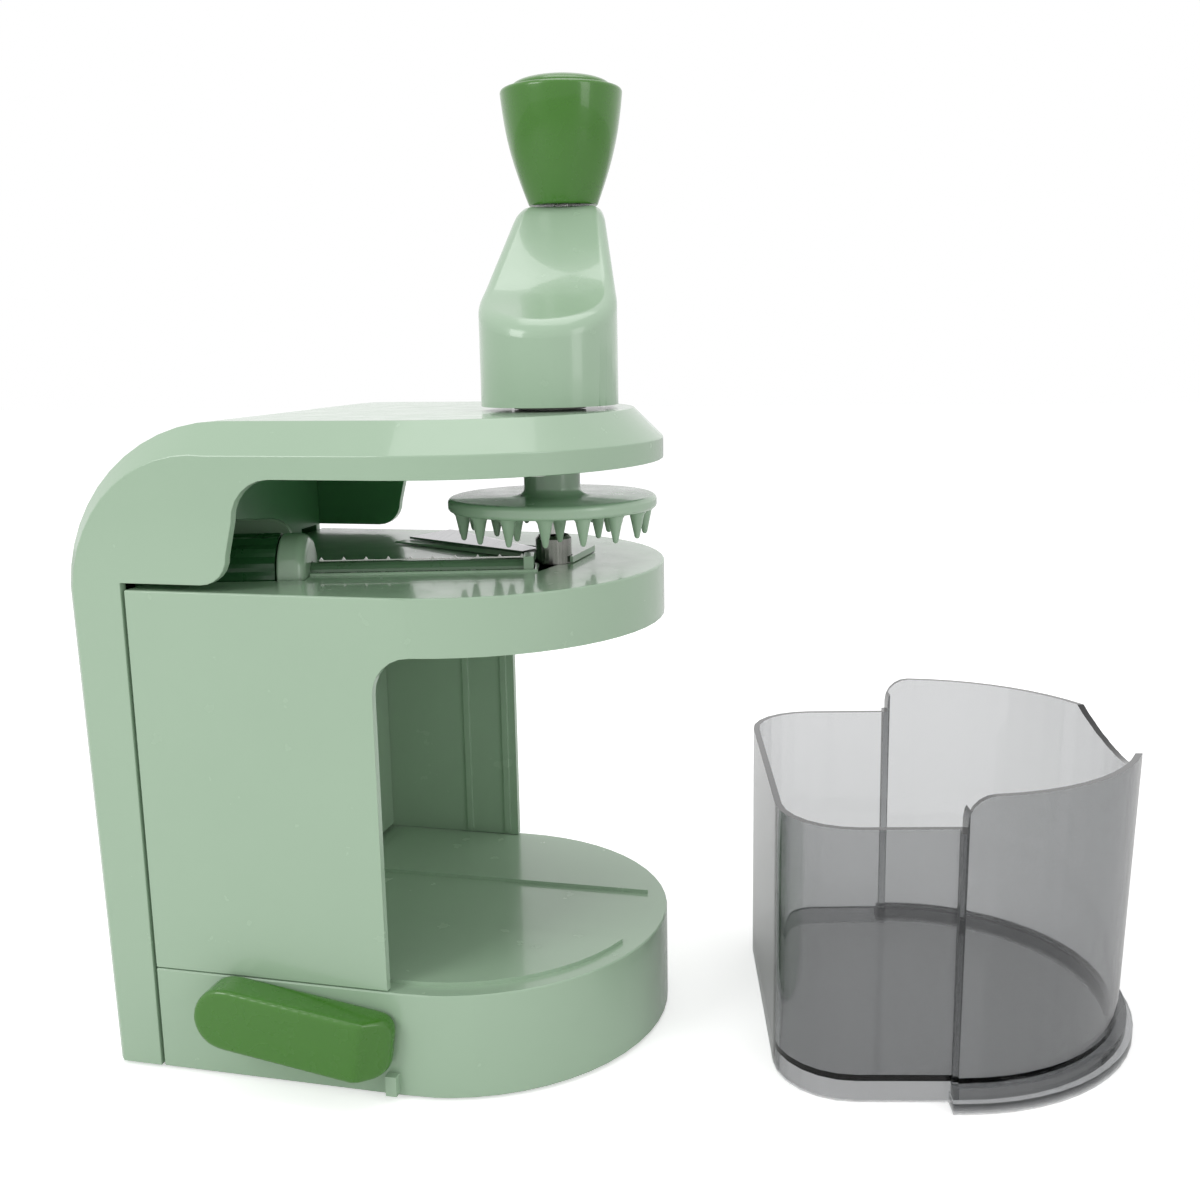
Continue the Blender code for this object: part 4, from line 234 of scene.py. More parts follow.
class CrankSettings(bpy.types.PropertyGroup):
    """Sizes of the crank, its knob and the food holder."""

    hub_radius: FloatProperty(name="Hub", description="Radius of the crank's hub", default=0.0210, unit="LENGTH")
    crank_end_radius: FloatProperty(
        name="Crank end", description="Radius of the crank's upper end", default=0.0127, unit="LENGTH")
    hub_front_height: FloatProperty(
        name="Hub front", description="Height of the hub on the side away from the knob", default=0.0245,
        unit="LENGTH")
    hub_side_height: FloatProperty(
        name="Hub side", description="Height of the hub over its axis", default=0.0332, unit="LENGTH")
    crank_fillet: FloatProperty(
        name="Fillet", description="Rounding of the crank's upper edge", default=0.0042, unit="LENGTH")
    knob_foot_radius: FloatProperty(
        name="Knob foot", description="Radius of the knob's foot", default=0.0114, unit="LENGTH")
    knob_rim_radius: FloatProperty(
        name="Knob rim", description="Radius of the knob's rim", default=0.0203, unit="LENGTH")
    knob_swell: FloatProperty(
        name="Swell", description="How far the knob's side bulges", default=0.0016, unit="LENGTH")
    holder_thickness: FloatProperty(
        name="Disc", description="Thickness of the food holder's disc", default=0.0042, unit="LENGTH")
    tooth_length: FloatProperty(
        name="Teeth", description="Length of the holder's teeth", default=0.0083, unit="LENGTH")
    neck_radius: FloatProperty(
        name="Neck", description="Radius of the food holder's neck", default=0.0087, unit="LENGTH")
    outer_teeth_radius: FloatProperty(
        name="Outer teeth", description="Radius of the outer ring of teeth", default=0.0285, unit="LENGTH")
    inner_teeth_radius: FloatProperty(
        name="Inner teeth", description="Radius of the inner ring of teeth", default=0.0175, unit="LENGTH")
    collar_bore: FloatProperty(
        name="Collar bore", description="Radius of the hole for the comb bar", default=0.0033, unit="LENGTH")
    collar_round: FloatProperty(
        name="Collar edge", description="Rounding of the collar's front edge", default=0.0032, unit="LENGTH")


class StageSettings(bpy.types.PropertyGroup):
    """Camera and lights."""

    camera_place: FloatVectorProperty(
        name="Camera", description="Where the camera stands", subtype="TRANSLATION",
        default=(0.1443, -0.3941, 0.2169))
    camera_forward: FloatVectorProperty(
        name="Forward", description="Where the camera looks", subtype="DIRECTION",
        default=(-0.23819, 0.95227, -0.19092))
    camera_right: FloatVectorProperty(
        name="Right", description="The picture's right-hand way", subtype="DIRECTION",
        default=(0.97078, 0.23932, -0.01747))
    lens: FloatProperty(name="Lens", description="Focal length in millimetres", default=39.8)
    sensor: FloatProperty(name="Sensor", description="Sensor width in millimetres", default=36.0)
    sky: FloatProperty(name="Sky", description="Strength of the even light from all round", default=0.62)
    key: FloatProperty(name="Key", description="Power of the front left softbox in watts", default=5.0)
    fill: FloatProperty(name="Fill", description="Power of the right softbox in watts", default=2.0)
    floor_lift: FloatProperty(
        name="Floor lift", description="How much the camera sees the floor lifted to white", default=0.50)
    top: FloatProperty(name="Top", description="Power of the overhead softbox in watts", default=3.5)


def new_material(name):
    """An empty material with its Principled shader and a short hand for adding nodes."""
    made = bpy.data.materials.new(name)
    made.use_nodes = True
    tree = made.node_tree
    shader = tree.nodes["Principled BSDF"]
    place = tree.nodes.new("ShaderNodeTexCoord")

    def add(kind, **values):
        node = tree.nodes.new(kind)
        for key, value in values.items():
            if key in node.inputs:
                node.inputs[key].default_value = value
            else:
                setattr(node, key, value)
        return node

    def link(source, target):
        tree.links.new(source, target)

    return made, shader, place.outputs["Object"], add, link


def noise(add, link, where, scale, detail=2.0, stretch=None):
    """A noise texture in the part's own metres, stretched along an axis if asked."""
    texture = add("ShaderNodeTexNoise")
    texture.inputs["Scale"].default_value = scale
    texture.inputs["Detail"].default_value = detail
    if stretch:
        mapping = add("ShaderNodeMapping")
        mapping.inputs["Scale"].default_value = stretch
        link(where, mapping.inputs["Vector"])
        where = mapping.outputs["Vector"]
    link(where, texture.inputs["Vector"])
    return texture.outputs["Fac"]


def spread(add, link, value, low_end, high_end):
    """Map a noise's middle range onto a narrow band of values."""
    node = add("ShaderNodeMapRange")
    node.inputs["From Min"].default_value = NOISE_BAND[0]
    node.inputs["From Max"].default_value = NOISE_BAND[1]
    node.inputs["To Min"].default_value = low_end
    node.inputs["To Max"].default_value = high_end
    link(value, node.inputs["Value"])
    return node.outputs["Result"]


def tinted(add, link, value, colour, share):
    """A colour that wanders a little to both sides with a noise."""
    mix = add("ShaderNodeMix", data_type="RGBA")
    darker = tuple(c * (1 - share) for c in colour)
    lighter = tuple(min(1.0, c * (1 + share)) for c in colour)
    mix.inputs["A"].default_value = (*darker, 1.0)
    mix.inputs["B"].default_value = (*lighter, 1.0)
    link(value, mix.inputs["Factor"])
    return mix.outputs["Result"]


def raise_skin(add, link, shader, height, strength, distance):
    """A fine relief that follows a noise."""
    bump = add("ShaderNodeBump")
    bump.inputs["Strength"].default_value = strength
    bump.inputs["Distance"].default_value = distance
    link(height, bump.inputs["Height"])
    link(bump.outputs["Normal"], shader.inputs["Normal"])


def moulded_plastic(name, colour, roughness, grain=0.010, variation=0.03, coat=0.25):
    """Injection-moulded plastic: faint flow marks in its colour, a wandering gloss and an orange-peel skin."""
    made, shader, where, add, link = new_material(name)
    flow = noise(add, link, where, FLOW_SCALE, detail=3.0)
    link(tinted(add, link, flow, colour, variation), shader.inputs["Base Color"])
    haze = noise(add, link, where, HAZE_SCALE, detail=4.0)
    link(spread(add, link, haze, roughness * 0.85, roughness * 1.25), shader.inputs["Roughness"])
    shader.inputs["Coat Weight"].default_value = coat
    shader.inputs["Coat Roughness"].default_value = 0.04
    shader.inputs["IOR"].default_value = 1.50
    raise_skin(add, link, shader, noise(add, link, where, PEEL_SCALE, detail=1.0), grain, 0.4 * MM)
    return made


def brushed_metal(name, colour, roughness, stretch, grain=0.10, streak=0.10):
    """Steel with fine brushing that runs along one axis."""
    made, shader, where, add, link = new_material(name)
    lines = noise(add, link, where, BRUSH_SCALE, detail=4.0, stretch=stretch)
    link(tinted(add, link, lines, colour, streak), shader.inputs["Base Color"])
    link(spread(add, link, lines, roughness * 0.7, roughness * 1.4), shader.inputs["Roughness"])
    shader.inputs["Metallic"].default_value = 1.0
    raise_skin(add, link, shader, lines, grain, 0.2 * MM)
    return made


def soft_rubber(name):
    """Matt black rubber with a fine bloom."""
    made, shader, where, add, link = new_material(name)
    bloom = noise(add, link, where, BLOOM_SCALE, detail=5.0)
    link(tinted(add, link, bloom, (0.040, 0.043, 0.040), 0.25), shader.inputs["Base Color"])
    link(spread(add, link, bloom, 0.62, 0.85), shader.inputs["Roughness"])
    raise_skin(add, link, shader, noise(add, link, where, PORE_SCALE), 0.15, 0.3 * MM)
    return made


def smoky_clear(name, colour, density):
    """Clear plastic whose grey tint deepens with the thickness that one looks through."""
    made, shader, where, add, link = new_material(name)
    shader.inputs["Base Color"].default_value = (0.95, 0.95, 0.95, 1.0)
    shader.inputs["Transmission Weight"].default_value = 1.0
    shader.inputs["IOR"].default_value = 1.46
    film = noise(add, link, where, FILM_SCALE, detail=3.0)
    link(spread(add, link, film, 0.01, 0.05), shader.inputs["Roughness"])
    raise_skin(add, link, shader, noise(add, link, where, RIPPLE_SCALE), 0.02, 0.4 * MM)
    volume = add("ShaderNodeVolumeAbsorption")
    volume.inputs["Color"].default_value = (*colour, 1.0)
    volume.inputs["Density"].default_value = density
    output = made.node_tree.nodes["Material Output"]
    link(volume.outputs["Volume"], output.inputs["Volume"])
    return made


FINISHES = {}


def finish(name):
    """A finish that the finishes operator has made."""
    return FINISHES[name]


def apply_modifiers(obj):
    """Replace the object's mesh by what its modifiers make of it."""
    bpy.context.view_layer.update()
    evaluated = obj.evaluated_get(bpy.context.evaluated_depsgraph_get())
    final = bpy.data.meshes.new_from_object(evaluated)
    obj.modifiers.clear()
    obj.data = final
    return obj


def place_object(name, bm, material, smooth=35.0):
    """Turn a bmesh into a shown object."""
    bmesh.ops.recalc_face_normals(bm, faces=bm.faces)
    mesh = bpy.data.meshes.new(name)
    bm.to_mesh(mesh)
    bm.free()
    mesh.materials.append(material)
    mesh.shade_smooth()
    mesh.set_sharp_from_angle(angle=math.radians(smooth))
    obj = bpy.data.objects.new(name, mesh)
    bpy.context.scene.collection.objects.link(obj)
    return obj


def stand_for(obj, node):
    """Let a piece ride with the frame node's body and stand for the frame node that it dresses, which is hidden."""
    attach(obj, NODES[node]["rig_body"])
    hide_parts(node)
    return obj


def weigh_normals(obj):
    """Even out the shading of the flats."""
    normals = obj.modifiers.new("normals", "WEIGHTED_NORMAL")
    normals.keep_sharp = True
    normals.weight = 80
    return apply_modifiers(obj)


def soften(obj, width, segments, angle=28.0):
    """Round the edges and even out the shading of the flats."""
    bevel = obj.modifiers.new("edges", "BEVEL")
    bevel.width = width
    bevel.segments = segments
    bevel.limit_method = "ANGLE"
    bevel.angle_limit = math.radians(angle)
    bevel.use_clamp_overlap = True
    bevel.miter_outer = "MITER_ARC"
    return weigh_normals(obj)


def skin_of(node, material, width, segments):
    """A moulded skin over a frame node: its facets merged, its edges rounded."""
    bm = bmesh.new()
    bm.from_mesh(NODES[node].data)
    bmesh.ops.remove_doubles(bm, verts=bm.verts, dist=WELD)
    bmesh.ops.dissolve_limit(bm, angle_limit=FLAT_ANGLE, verts=bm.verts, edges=bm.edges)
    obj = place_object(node + "_skin", bm, material)
    soften(obj, width, segments)
    return stand_for(obj, node)


def line_and_shade_inside(head, lip):
    """Give the head's inner faces, its underside and its back the lining green, which is darker partly as the inner
    moulding's own plastic and partly as painted shade of the head's cave, and leave its outer faces and their lips
    light.
    """
    head.data.materials.append(finish("lining_and_painted_shade"))
    half = BODY_HALF - lip
    roof = ARM_TOP - lip
    for face in head.data.polygons:
        place = face.center
        inner_side = abs(place.y) < half and abs(face.normal.y) > SQUARE_ON and place.x < 0
        facing_in = face.normal.y * place.y < 0
        underside = face.normal.z < -SQUARE_ON and place.z < roof and abs(place.y) < half
        back = face.normal.x > SQUARE_ON and place.x < -BODY_REAR and abs(place.y) < half
        if (inner_side and facing_in) or underside or back:
            face.material_index = 1


def darken_edges(container, sizes):
    """The rim and the upright steps get a painted near-black that stands in for the dark one sees looking along the
    wall there.
    """
    container.data.materials.append(finish("painted_dark_edge"))
    back = Matrix.Rotation(-sizes.container_yaw, 3, "Z")
    for face in container.data.polygons:
        spot = back @ (face.center - Vector(sizes.container_place))
        rim = face.center.z > RIM_FOOT and face.normal.z > EDGE_TURNED
        step = STEP_RUN[0] < spot.x < STEP_RUN[1] and abs(spot.y) > STEP_SIDE and face.center.z > STEP_FOOT
        facing = back @ face.normal
        if rim or (step and abs(facing.x) > EDGE_TURNED):
            face.material_index = 1


def dress_node(node, material):
    """Give a carried-over frame node its finish."""
    mesh_slots = NODES[node].data.materials
    mesh_slots.clear()
    mesh_slots.append(material)


def rounded(points, steps=6):
    """An outline of (a, b, radius) corners with its inner corners rounded."""
    result = []
    last = len(points) - 1
    for index, (a, b, radius) in enumerate(points):
        corner = Vector((a, b))
        if radius <= 0.0 or index in (0, last):
            result.append((a, b))
            continue
        before = Vector(points[index - 1][:2]) - corner
        after = Vector(points[index + 1][:2]) - corner
        opening = before.angle(after)
        reach = min(radius / math.tan(opening / 2), before.length / 2, after.length / 2)
        swing = math.pi - opening
        true_radius = reach * math.tan(opening / 2)
        start = corner + before.normalized() * reach
        inward = (before.normalized() + after.normalized()).normalized()
        centre = corner + inward * (true_radius / math.sin(opening / 2))
        way = 1.0 if before.cross(after) < 0 else -1.0
        arm = start - centre
        for step in range(steps + 1):
            turn = Matrix.Rotation(way * swing * step / steps, 2)
            point = centre + turn @ arm
            result.append((point.x, point.y))
    return result


def lathe(bm, profile, centre, steps=96):
    """Turn a profile of (radius, height) points about an upright axis into a bmesh."""
    rings = []
    for radius, height in profile:
        if radius < ON_AXIS:
            rings.append([bm.verts.new((centre[0], centre[1], height))])
            continue
        circle = []
        for step in range(steps):
            angle = math.tau * step / steps
            across = centre[0] + radius * math.cos(angle)
            deep = centre[1] + radius * math.sin(angle)
            circle.append(bm.verts.new((across, deep, height)))
        rings.append(circle)
    for lower, upper in zip(rings, rings[1:]):
        for step in range(steps):
            after = (step + 1) % steps
            corners = [lower[step % len(lower)], lower[after % len(lower)], upper[after % len(upper)],
                       upper[step % len(upper)]]
            faces = list(dict.fromkeys(corners))
            if len(faces) > 2:
                bm.faces.new(faces)


def crank_frame():
    """The crank's own frame: X from the spindle to the knob, Z up from the hub's foot."""
    run = KNOB_AXIS - CRANK_AXIS
    heading = math.atan2(run.y, run.x)
    foot = Vector((CRANK_AXIS.x, CRANK_AXIS.y, low("crank_arm").z))
    return Matrix.Translation(foot) @ Matrix.Rotation(heading, 4, "Z"), math.hypot(run.x, run.y)


def height_at(profile, run):
    """Height of a polyline at a run."""
    for (run_a, high_a), (run_b, high_b) in zip(profile, profile[1:]):
        if run <= run_b:
            share = (run - run_a) / (run_b - run_a)
            return high_a + (high_b - high_a) * max(share, 0.0)
    return profile[-1][1]


def crank_envelope(sizes):
    """A smooth closed form round the crank: round hub, filleted top edge and a flowing slope to the seat."""
    place, offset = crank_frame()
    hub = sizes.hub_radius - HUB_EASE
    end = sizes.crank_end_radius - END_EASE
    seat = KNOB_AXIS.z - KNOB_GAP - place.translation.z - SEAT_EASE
    profile = rounded([(-hub - RUN_OUT, sizes.hub_front_height - TOP_EASE - RUN_OUT_FALL, 0.0),
                       (0.0, sizes.hub_side_height - TOP_EASE - SLOPE_SAG, SLOPE_ROUND),
                       (offset - SLOPE_END[0], seat - SLOPE_END[1], SLOPE_END[2]),
                       (offset - SEAT_EDGE[0], seat, SEAT_EDGE[1]),
                       (offset + 2 * end, seat, 0.0)], steps=10)
    lean = math.acos((hub - end) / offset)
    spine = []
    for step in range(HUB_STEPS + 1):
        angle = lean + (math.tau - 2 * lean) * step / HUB_STEPS
        spine.append((angle, 0.0, hub))
    for step in range(1, FLANK_STEPS):
        spine.append((math.tau - lean, offset * step / FLANK_STEPS, hub + (end - hub) * step / FLANK_STEPS))
    for step in range(END_STEPS + 1):
        spine.append((-lean + 2 * lean * step / END_STEPS, offset, end))
    for step in range(1, FLANK_STEPS):
        spine.append((lean, offset * (1 - step / FLANK_STEPS), end + (hub - end) * step / FLANK_STEPS))
    fillet = sizes.crank_fillet
    layers = [(0.0, None)]
    for step in range(FILLET_STEPS + 1):
        angle = math.pi / 2 * step / FILLET_STEPS
        layers.append((fillet * (1 - math.cos(angle)), fillet * (1 - math.sin(angle))))
    bm = bmesh.new()
    rings = []
    for inset, drop in layers:
        rings.append([ring_point(bm, entry, inset, drop, profile, place) for entry in spine])
    for share in INWARD_SHARES:
        rings.append([ring_point(bm, entry, fillet + (entry[2] - fillet) * share, 0.0, profile, place)
                      for entry in spine])
    count = len(spine)
    for lower, upper in zip(rings, rings[1:]):
        for index in range(count):
            after = (index + 1) % count
            bm.faces.new((lower[index], lower[after], upper[after], upper[index]))
    bm.faces.new(rings[0])
    bmesh.ops.remove_doubles(bm, verts=bm.verts, dist=WELD)
    bmesh.ops.dissolve_degenerate(bm, edges=bm.edges, dist=WELD)
    loose = [edge for edge in bm.edges if len(edge.link_faces) == 1]
    bmesh.ops.holes_fill(bm, edges=loose)
    return bm


def ring_point(bm, entry, inset, drop, profile, place):
    """A point of the crank's form: set in from the edge and dropped below the profile."""
    angle, centre_run, radius = entry
    across = radius - inset
    run = centre_run + across * math.cos(angle)
    side = across * math.sin(angle)
    height = FORM_FOOT if drop is None else height_at(profile, run) - drop
    return bm.verts.new(place @ Vector((run, side, height)))


class SPIRALIZER_OT_finishes(bpy.types.Operator):
    """Make the finishes that the pieces share"""

    bl_idname = "spiralizer.finishes"
    bl_label = "Finishes"

    def execute(self, context):
        look = context.scene.spiralizer_finish
        FINISHES["sage"] = moulded_plastic("polished sage", tuple(look.sage), look.gloss, coat=look.polish)
        FINISHES["inner_sage"] = moulded_plastic("satin inner sage", tuple(look.inner_sage), 0.34, coat=0.0)
        FINISHES["leaf"] = moulded_plastic("satin leaf green", tuple(look.leaf), 0.26, grain=0.02, coat=0.5)
        FINISHES["pine"] = moulded_plastic("dark pine green", tuple(look.pine), 0.30, coat=0.15)
        # The lining green carries painted shade of the head's cave as well as the inner mouldings' own darker
        # plastic.
        FINISHES["lining_and_painted_shade"] = moulded_plastic("satin lining green", tuple(look.lining_and_painted_shade), 0.32, coat=0.1)
        FINISHES["comb"] = moulded_plastic("comb green", tuple(look.comb), 0.30, coat=0.3)
        FINISHES["nylon"] = moulded_plastic("natural nylon", (0.60, 0.60, 0.56), 0.45, coat=0.0)
        FINISHES["steel_upright"] = brushed_metal("upright brushed steel", tuple(look.steel), 0.26, (1, 1, 0.03))
        FINISHES["steel_long"] = brushed_metal("lengthwise brushed steel", tuple(look.steel), 0.24, (0.03, 1, 1))
        FINISHES["tube"] = brushed_metal("streaked tube steel", (0.27, 0.27, 0.25), 0.20, (1, 1, 0.02), streak=0.7)
        FINISHES["blade"] = brushed_metal("ground blade steel", (0.42, 0.42, 0.43), 0.18, (1, 0.05, 1), grain=0.05)
        FINISHES["rubber"] = soft_rubber("matt rubber")
        # Painted near-black for the container's rim and steps, standing in for the dark seen looking along the clear
        # wall.
        FINISHES["painted_dark_edge"] = moulded_plastic("dark smoky edge", (0.012, 0.013, 0.014), 0.12, coat=0.6)
        FINISHES["smoky"] = smoky_clear("smoky clear plastic", tuple(look.smoke), look.smoke_density)
        return {"FINISHED"}


class SPIRALIZER_OT_hardware(bpy.types.Operator):
    """Finish the fixings, rods and inner mouldings"""

    bl_idname = "spiralizer.hardware"
    bl_label = "Fixings and inner pieces"

    def execute(self, context):
        groups = {
            "steel_upright": ["base_screw_1", "base_screw_2", "base_screw_3", "base_screw_4", "pull_stud",
                              "guide_rod_left", "guide_rod_right", "blade_screw_1", "blade_screw_2",
                              "cover_screw_1", "cover_screw_2", "cover_screw_3", "cover_screw_4", "spindle",
                              "holder_centre_pin", "knob_pin"],
            "steel_long": ["lift_yoke", "lever_axle", "comb_coarse", "comb_medium", "comb_fine",
                           "drive_pin", "holder_pin"],
            "blade": ["main_blade"],
            "tube": ["core_tube"],
            "rubber": ["rear_foot_left", "rear_foot_right", "suction_pad", "rod_buffer_left", "rod_buffer_right"],
            "nylon": ["spindle_bush", "guide_shoe_left", "guide_shoe_right", "thrust_washer"],
            "inner_sage": ["base_bottom_plate", "pad_clamp_ring", "axle_saddle", "deck_underplate", "tube_nut",
                           "crank_arm_cover"],
            "pine": ["selector_knob"],
            # The pieces inside the head's cave get the lining green, which carries painted shade.
            "lining_and_painted_shade": ["arm_cover", "rear_column", "selector_cradle"],
            "comb": ["comb_bar"],
            "sage": ["bay_rear_wall", "blade_ramp", "selector_front_bearing"],
        }
        for name, nodes in groups.items():
            for node in nodes:
                dress_node(node, finish(name))
        return {"FINISHED"}


class SPIRALIZER_OT_shells(bpy.types.Operator):
    """Round the edges of the big mouldings"""

    bl_idname = "spiralizer.shells"
    bl_label = "Big mouldings"

    def execute(self, context):
        sizes = context.scene.spiralizer_shell
        skin_of("base_housing", finish("sage"), sizes.edge, sizes.segments)
        skin_of("body_housing", finish("sage"), sizes.edge, sizes.segments)
        # The head's inner faces get the lining green with its painted shade.
        line_and_shade_inside(skin_of("lift_shell", finish("sage"), sizes.crease, sizes.segments), sizes.lip)
        # The container's rim and upright steps get the painted near-black.
        darken_edges(skin_of("container", finish("smoky"), sizes.edge, sizes.segments), sizes)
        return {"FINISHED"}


class SPIRALIZER_OT_suction_lever(bpy.types.Operator):
    """Round the suction lever's edges"""

    bl_idname = "spiralizer.suction_lever"
    bl_label = "Suction lever"

    def execute(self, context):
        sizes = context.scene.spiralizer_shell
        shape = bmesh.new()
        shape.from_mesh(NODES["suction_lever"].data)
        lever = place_object("suction_lever_skin", shape, finish("leaf"))
        grid = lever.modifiers.new("grid", "REMESH")
        grid.mode = "VOXEL"
        grid.voxel_size = sizes.lever_grid
        smooth = lever.modifiers.new("rounding", "SMOOTH")
        smooth.factor = 0.5
        smooth.iterations = sizes.lever_rounds
        apply_modifiers(lever)
        lever.data.materials.clear()
        lever.data.materials.append(finish("leaf"))
        lever.data.shade_smooth()
        stand_for(lever, "suction_lever")
        return {"FINISHED"}


class SPIRALIZER_OT_crank(bpy.types.Operator):
    """Build the crank's flowing moulding"""

    bl_idname = "spiralizer.crank"
    bl_label = "Crank"

    def execute(self, context):
        sizes = context.scene.spiralizer_crank
        shape = bmesh.new()
        shape.from_mesh(NODES["crank_arm"].data)
        bmesh.ops.remove_doubles(shape, verts=shape.verts, dist=WELD)
        skin = place_object("crank_arm_skin", shape, finish("sage"))
        form = place_object("crank_form", crank_envelope(sizes), finish("sage"))
        trim = skin.modifiers.new("form", "BOOLEAN")
        trim.operation = "INTERSECT"
        trim.solver = "EXACT"
        trim.object = form
        apply_modifiers(skin)
        bpy.data.objects.remove(form, do_unlink=True)
        skin.data.shade_smooth()
        skin.data.set_sharp_from_angle(angle=math.radians(24))
        weigh_normals(skin)
        stand_for(skin, "crank_arm")
        return {"FINISHED"}


class SPIRALIZER_OT_crank_knob(bpy.types.Operator):
    """Turn the flared knob and its domed cap"""

    bl_idname = "spiralizer.crank_knob"
    bl_label = "Crank knob"

    def execute(self, context):
        sizes = context.scene.spiralizer_crank
        foot = low("crank_knob").z
        rim = high("crank_knob").z
        outer = []
        for step in range(KNOB_STEPS + 1):
            share = step / KNOB_STEPS
            swell = sizes.knob_swell * math.sin(math.pi * share)
            radius = sizes.knob_foot_radius + (sizes.knob_rim_radius - sizes.knob_foot_radius) * share + swell
            outer.append((radius, foot + (rim - foot) * share))
        cap = high("knob_cap").x - KNOB_AXIS.x + CAP_GAP
        shelf = foot + KNOB_SHELF
        seat = rim - CAP_DEPTH
        corners = [(KNOB_BORE, foot, 0.0), (outer[0][0], outer[0][1], 0.9 * MM)]
        corners += [(radius, height, 0.0) for radius, height in outer[2:-2]]
        corners += [(outer[-1][0], rim, 1.9 * MM), (cap, rim, 0.25 * MM), (cap, seat, 0.0),
                    (WELL_RADIUS, seat, 0.0), (WELL_RADIUS, shelf, 0.0), (KNOB_BORE, shelf, 0.0),
                    (KNOB_BORE, foot, 0.0)]
        bm = bmesh.new()
        lathe(bm, rounded(corners, steps=8), KNOB_AXIS)
        bmesh.ops.remove_doubles(bm, verts=bm.verts, dist=WELD)
        stand_for(place_object("crank_knob_skin", bm, finish("leaf"), smooth=40), "crank_knob")
        top = high("knob_cap").z
        radius = cap - CAP_GAP
        cap_foot = seat + CAP_GAP
        dome = [(0.0, cap_foot), (radius, cap_foot), (radius, rim - 0.1 * MM)]
        for step in range(DOME_STEPS + 1):
            angle = math.pi / 2 * (step / DOME_STEPS)
            rise = (top - rim) * math.sin(angle) ** DOME_POWER
            dome.append(((radius - CAP_GAP) * math.cos(angle), rim + rise))
        bm = bmesh.new()
        lathe(bm, dome, KNOB_AXIS)
        stand_for(place_object("knob_cap_skin", bm, finish("leaf"), smooth=50), "knob_cap")
        return {"FINISHED"}


class SPIRALIZER_OT_selector_collar(bpy.types.Operator):
    """Turn the collar that holds the comb bar"""

    bl_idname = "spiralizer.selector_collar"
    bl_label = "Selector collar"

    def execute(self, context):
        sizes = context.scene.spiralizer_crank
        along = Vector(JOINTS["selector_turn"]["axis"]).normalized()
        frame_turn = along.to_track_quat("Z", "Y").to_matrix().to_4x4()
        runs = [(vertex.co - SELECTOR_AXIS).dot(along) for vertex in NODES["selector_collar"].data.vertices]
        rear = min(runs)
        front = max(runs)
        radius = high("selector_collar").z - SELECTOR_AXIS.z
        bore = sizes.collar_bore
        corners = [(bore, rear, 0.0), (radius, rear, 0.8 * MM), (radius, front, sizes.collar_round),
                   (bore, front, 0.0), (bore, rear, 0.0)]
        bm = bmesh.new()
        lathe(bm, rounded(corners, steps=10), (0.0, 0.0))
        bmesh.ops.remove_doubles(bm, verts=bm.verts, dist=WELD)
        bmesh.ops.transform(bm, matrix=Matrix.Translation(SELECTOR_AXIS) @ frame_turn, verts=bm.verts)
        stand_for(place_object("selector_collar_skin", bm, finish("sage")), "selector_collar")
        return {"FINISHED"}


class SPIRALIZER_OT_food_holder(bpy.types.Operator):
    """Turn the toothed disc that holds the vegetable"""

    bl_idname = "spiralizer.food_holder"
    bl_label = "Food holder"

    def execute(self, context):
        sizes = context.scene.spiralizer_crank
        neck_top = high("food_holder").z
        tips = low("food_holder").z
        disc = high("food_holder").x - CRANK_AXIS.x
        under = tips + sizes.tooth_length
        top = under + sizes.holder_thickness
        pin, seat = PIN_HOLE
        corners = [(SOCKET_RADIUS, neck_top, 0.0), (sizes.neck_radius, neck_top, 0.4 * MM),
                   (sizes.neck_radius, top + 0.3 * MM, 3.6 * MM),
                   (sizes.neck_radius + NECK_SPREAD, top - 0.05 * MM, 0.0),
                   (disc, top - 0.1 * MM, 1.5 * MM), (disc, under, 1.2 * MM), (pin, under, 0.0),
                   (pin, under + seat, 0.0), (0.0, under + seat, 0.0)]
        bm = bmesh.new()
        lathe(bm, rounded(corners, steps=7), CRANK_AXIS)
        inner = top + sizes.holder_thickness / 2 - 0.3 * MM
        lathe(bm, [(0.0, inner), (SOCKET_RADIUS, inner), (SOCKET_RADIUS, neck_top)], CRANK_AXIS)
        bmesh.ops.remove_doubles(bm, verts=bm.verts, dist=WELD)
        tooth = [(radius, tips + height) for radius, height in TOOTH_TIP]
        tooth += [(radius, under + height) for radius, height in TOOTH_ROOT]
        for ring, count in TEETH:
            radius = getattr(sizes, ring)
            for step in range(count):
                angle = math.pi / count + math.tau * step / count
                where = (CRANK_AXIS.x + radius * math.cos(angle), CRANK_AXIS.y + radius * math.sin(angle))
                lathe(bm, tooth, where, steps=20)
        stand_for(place_object("food_holder_skin", bm, finish("sage"), smooth=45), "food_holder")
        return {"FINISHED"}


def softbox(name, place, width, height, power):
    """A rectangular lamp that looks at the part."""
    lamp = bpy.data.lights.new(name, "AREA")
    lamp.shape = "RECTANGLE"
    lamp.size = width
    lamp.size_y = height
    lamp.energy = power
    obj = bpy.data.objects.new(name, lamp)
    obj.location = place
    obj.rotation_mode = "QUATERNION"
    obj.rotation_quaternion = (Vector(LAMP_AIM) - Vector(place)).to_track_quat("-Z", "Y")
    bpy.context.scene.collection.objects.link(obj)


def make_camera(stage):
    """The camera at the photograph's angle."""
    camera = bpy.data.cameras.new("camera")
    camera.lens = stage.lens
    camera.sensor_width = stage.sensor
    camera.clip_start = 0.01
    camera.clip_end = 50.0
    obj = bpy.data.objects.new("camera", camera)
    right = Vector(stage.camera_right).normalized()
    back = -Vector(stage.camera_forward).normalized()
    up = back.cross(right).normalized()
    turn = Matrix((right, up, back)).transposed()
    obj.matrix_world = Matrix.Translation(stage.camera_place) @ turn.to_4x4()
    bpy.context.scene.collection.objects.link(obj)
    bpy.context.scene.camera = obj


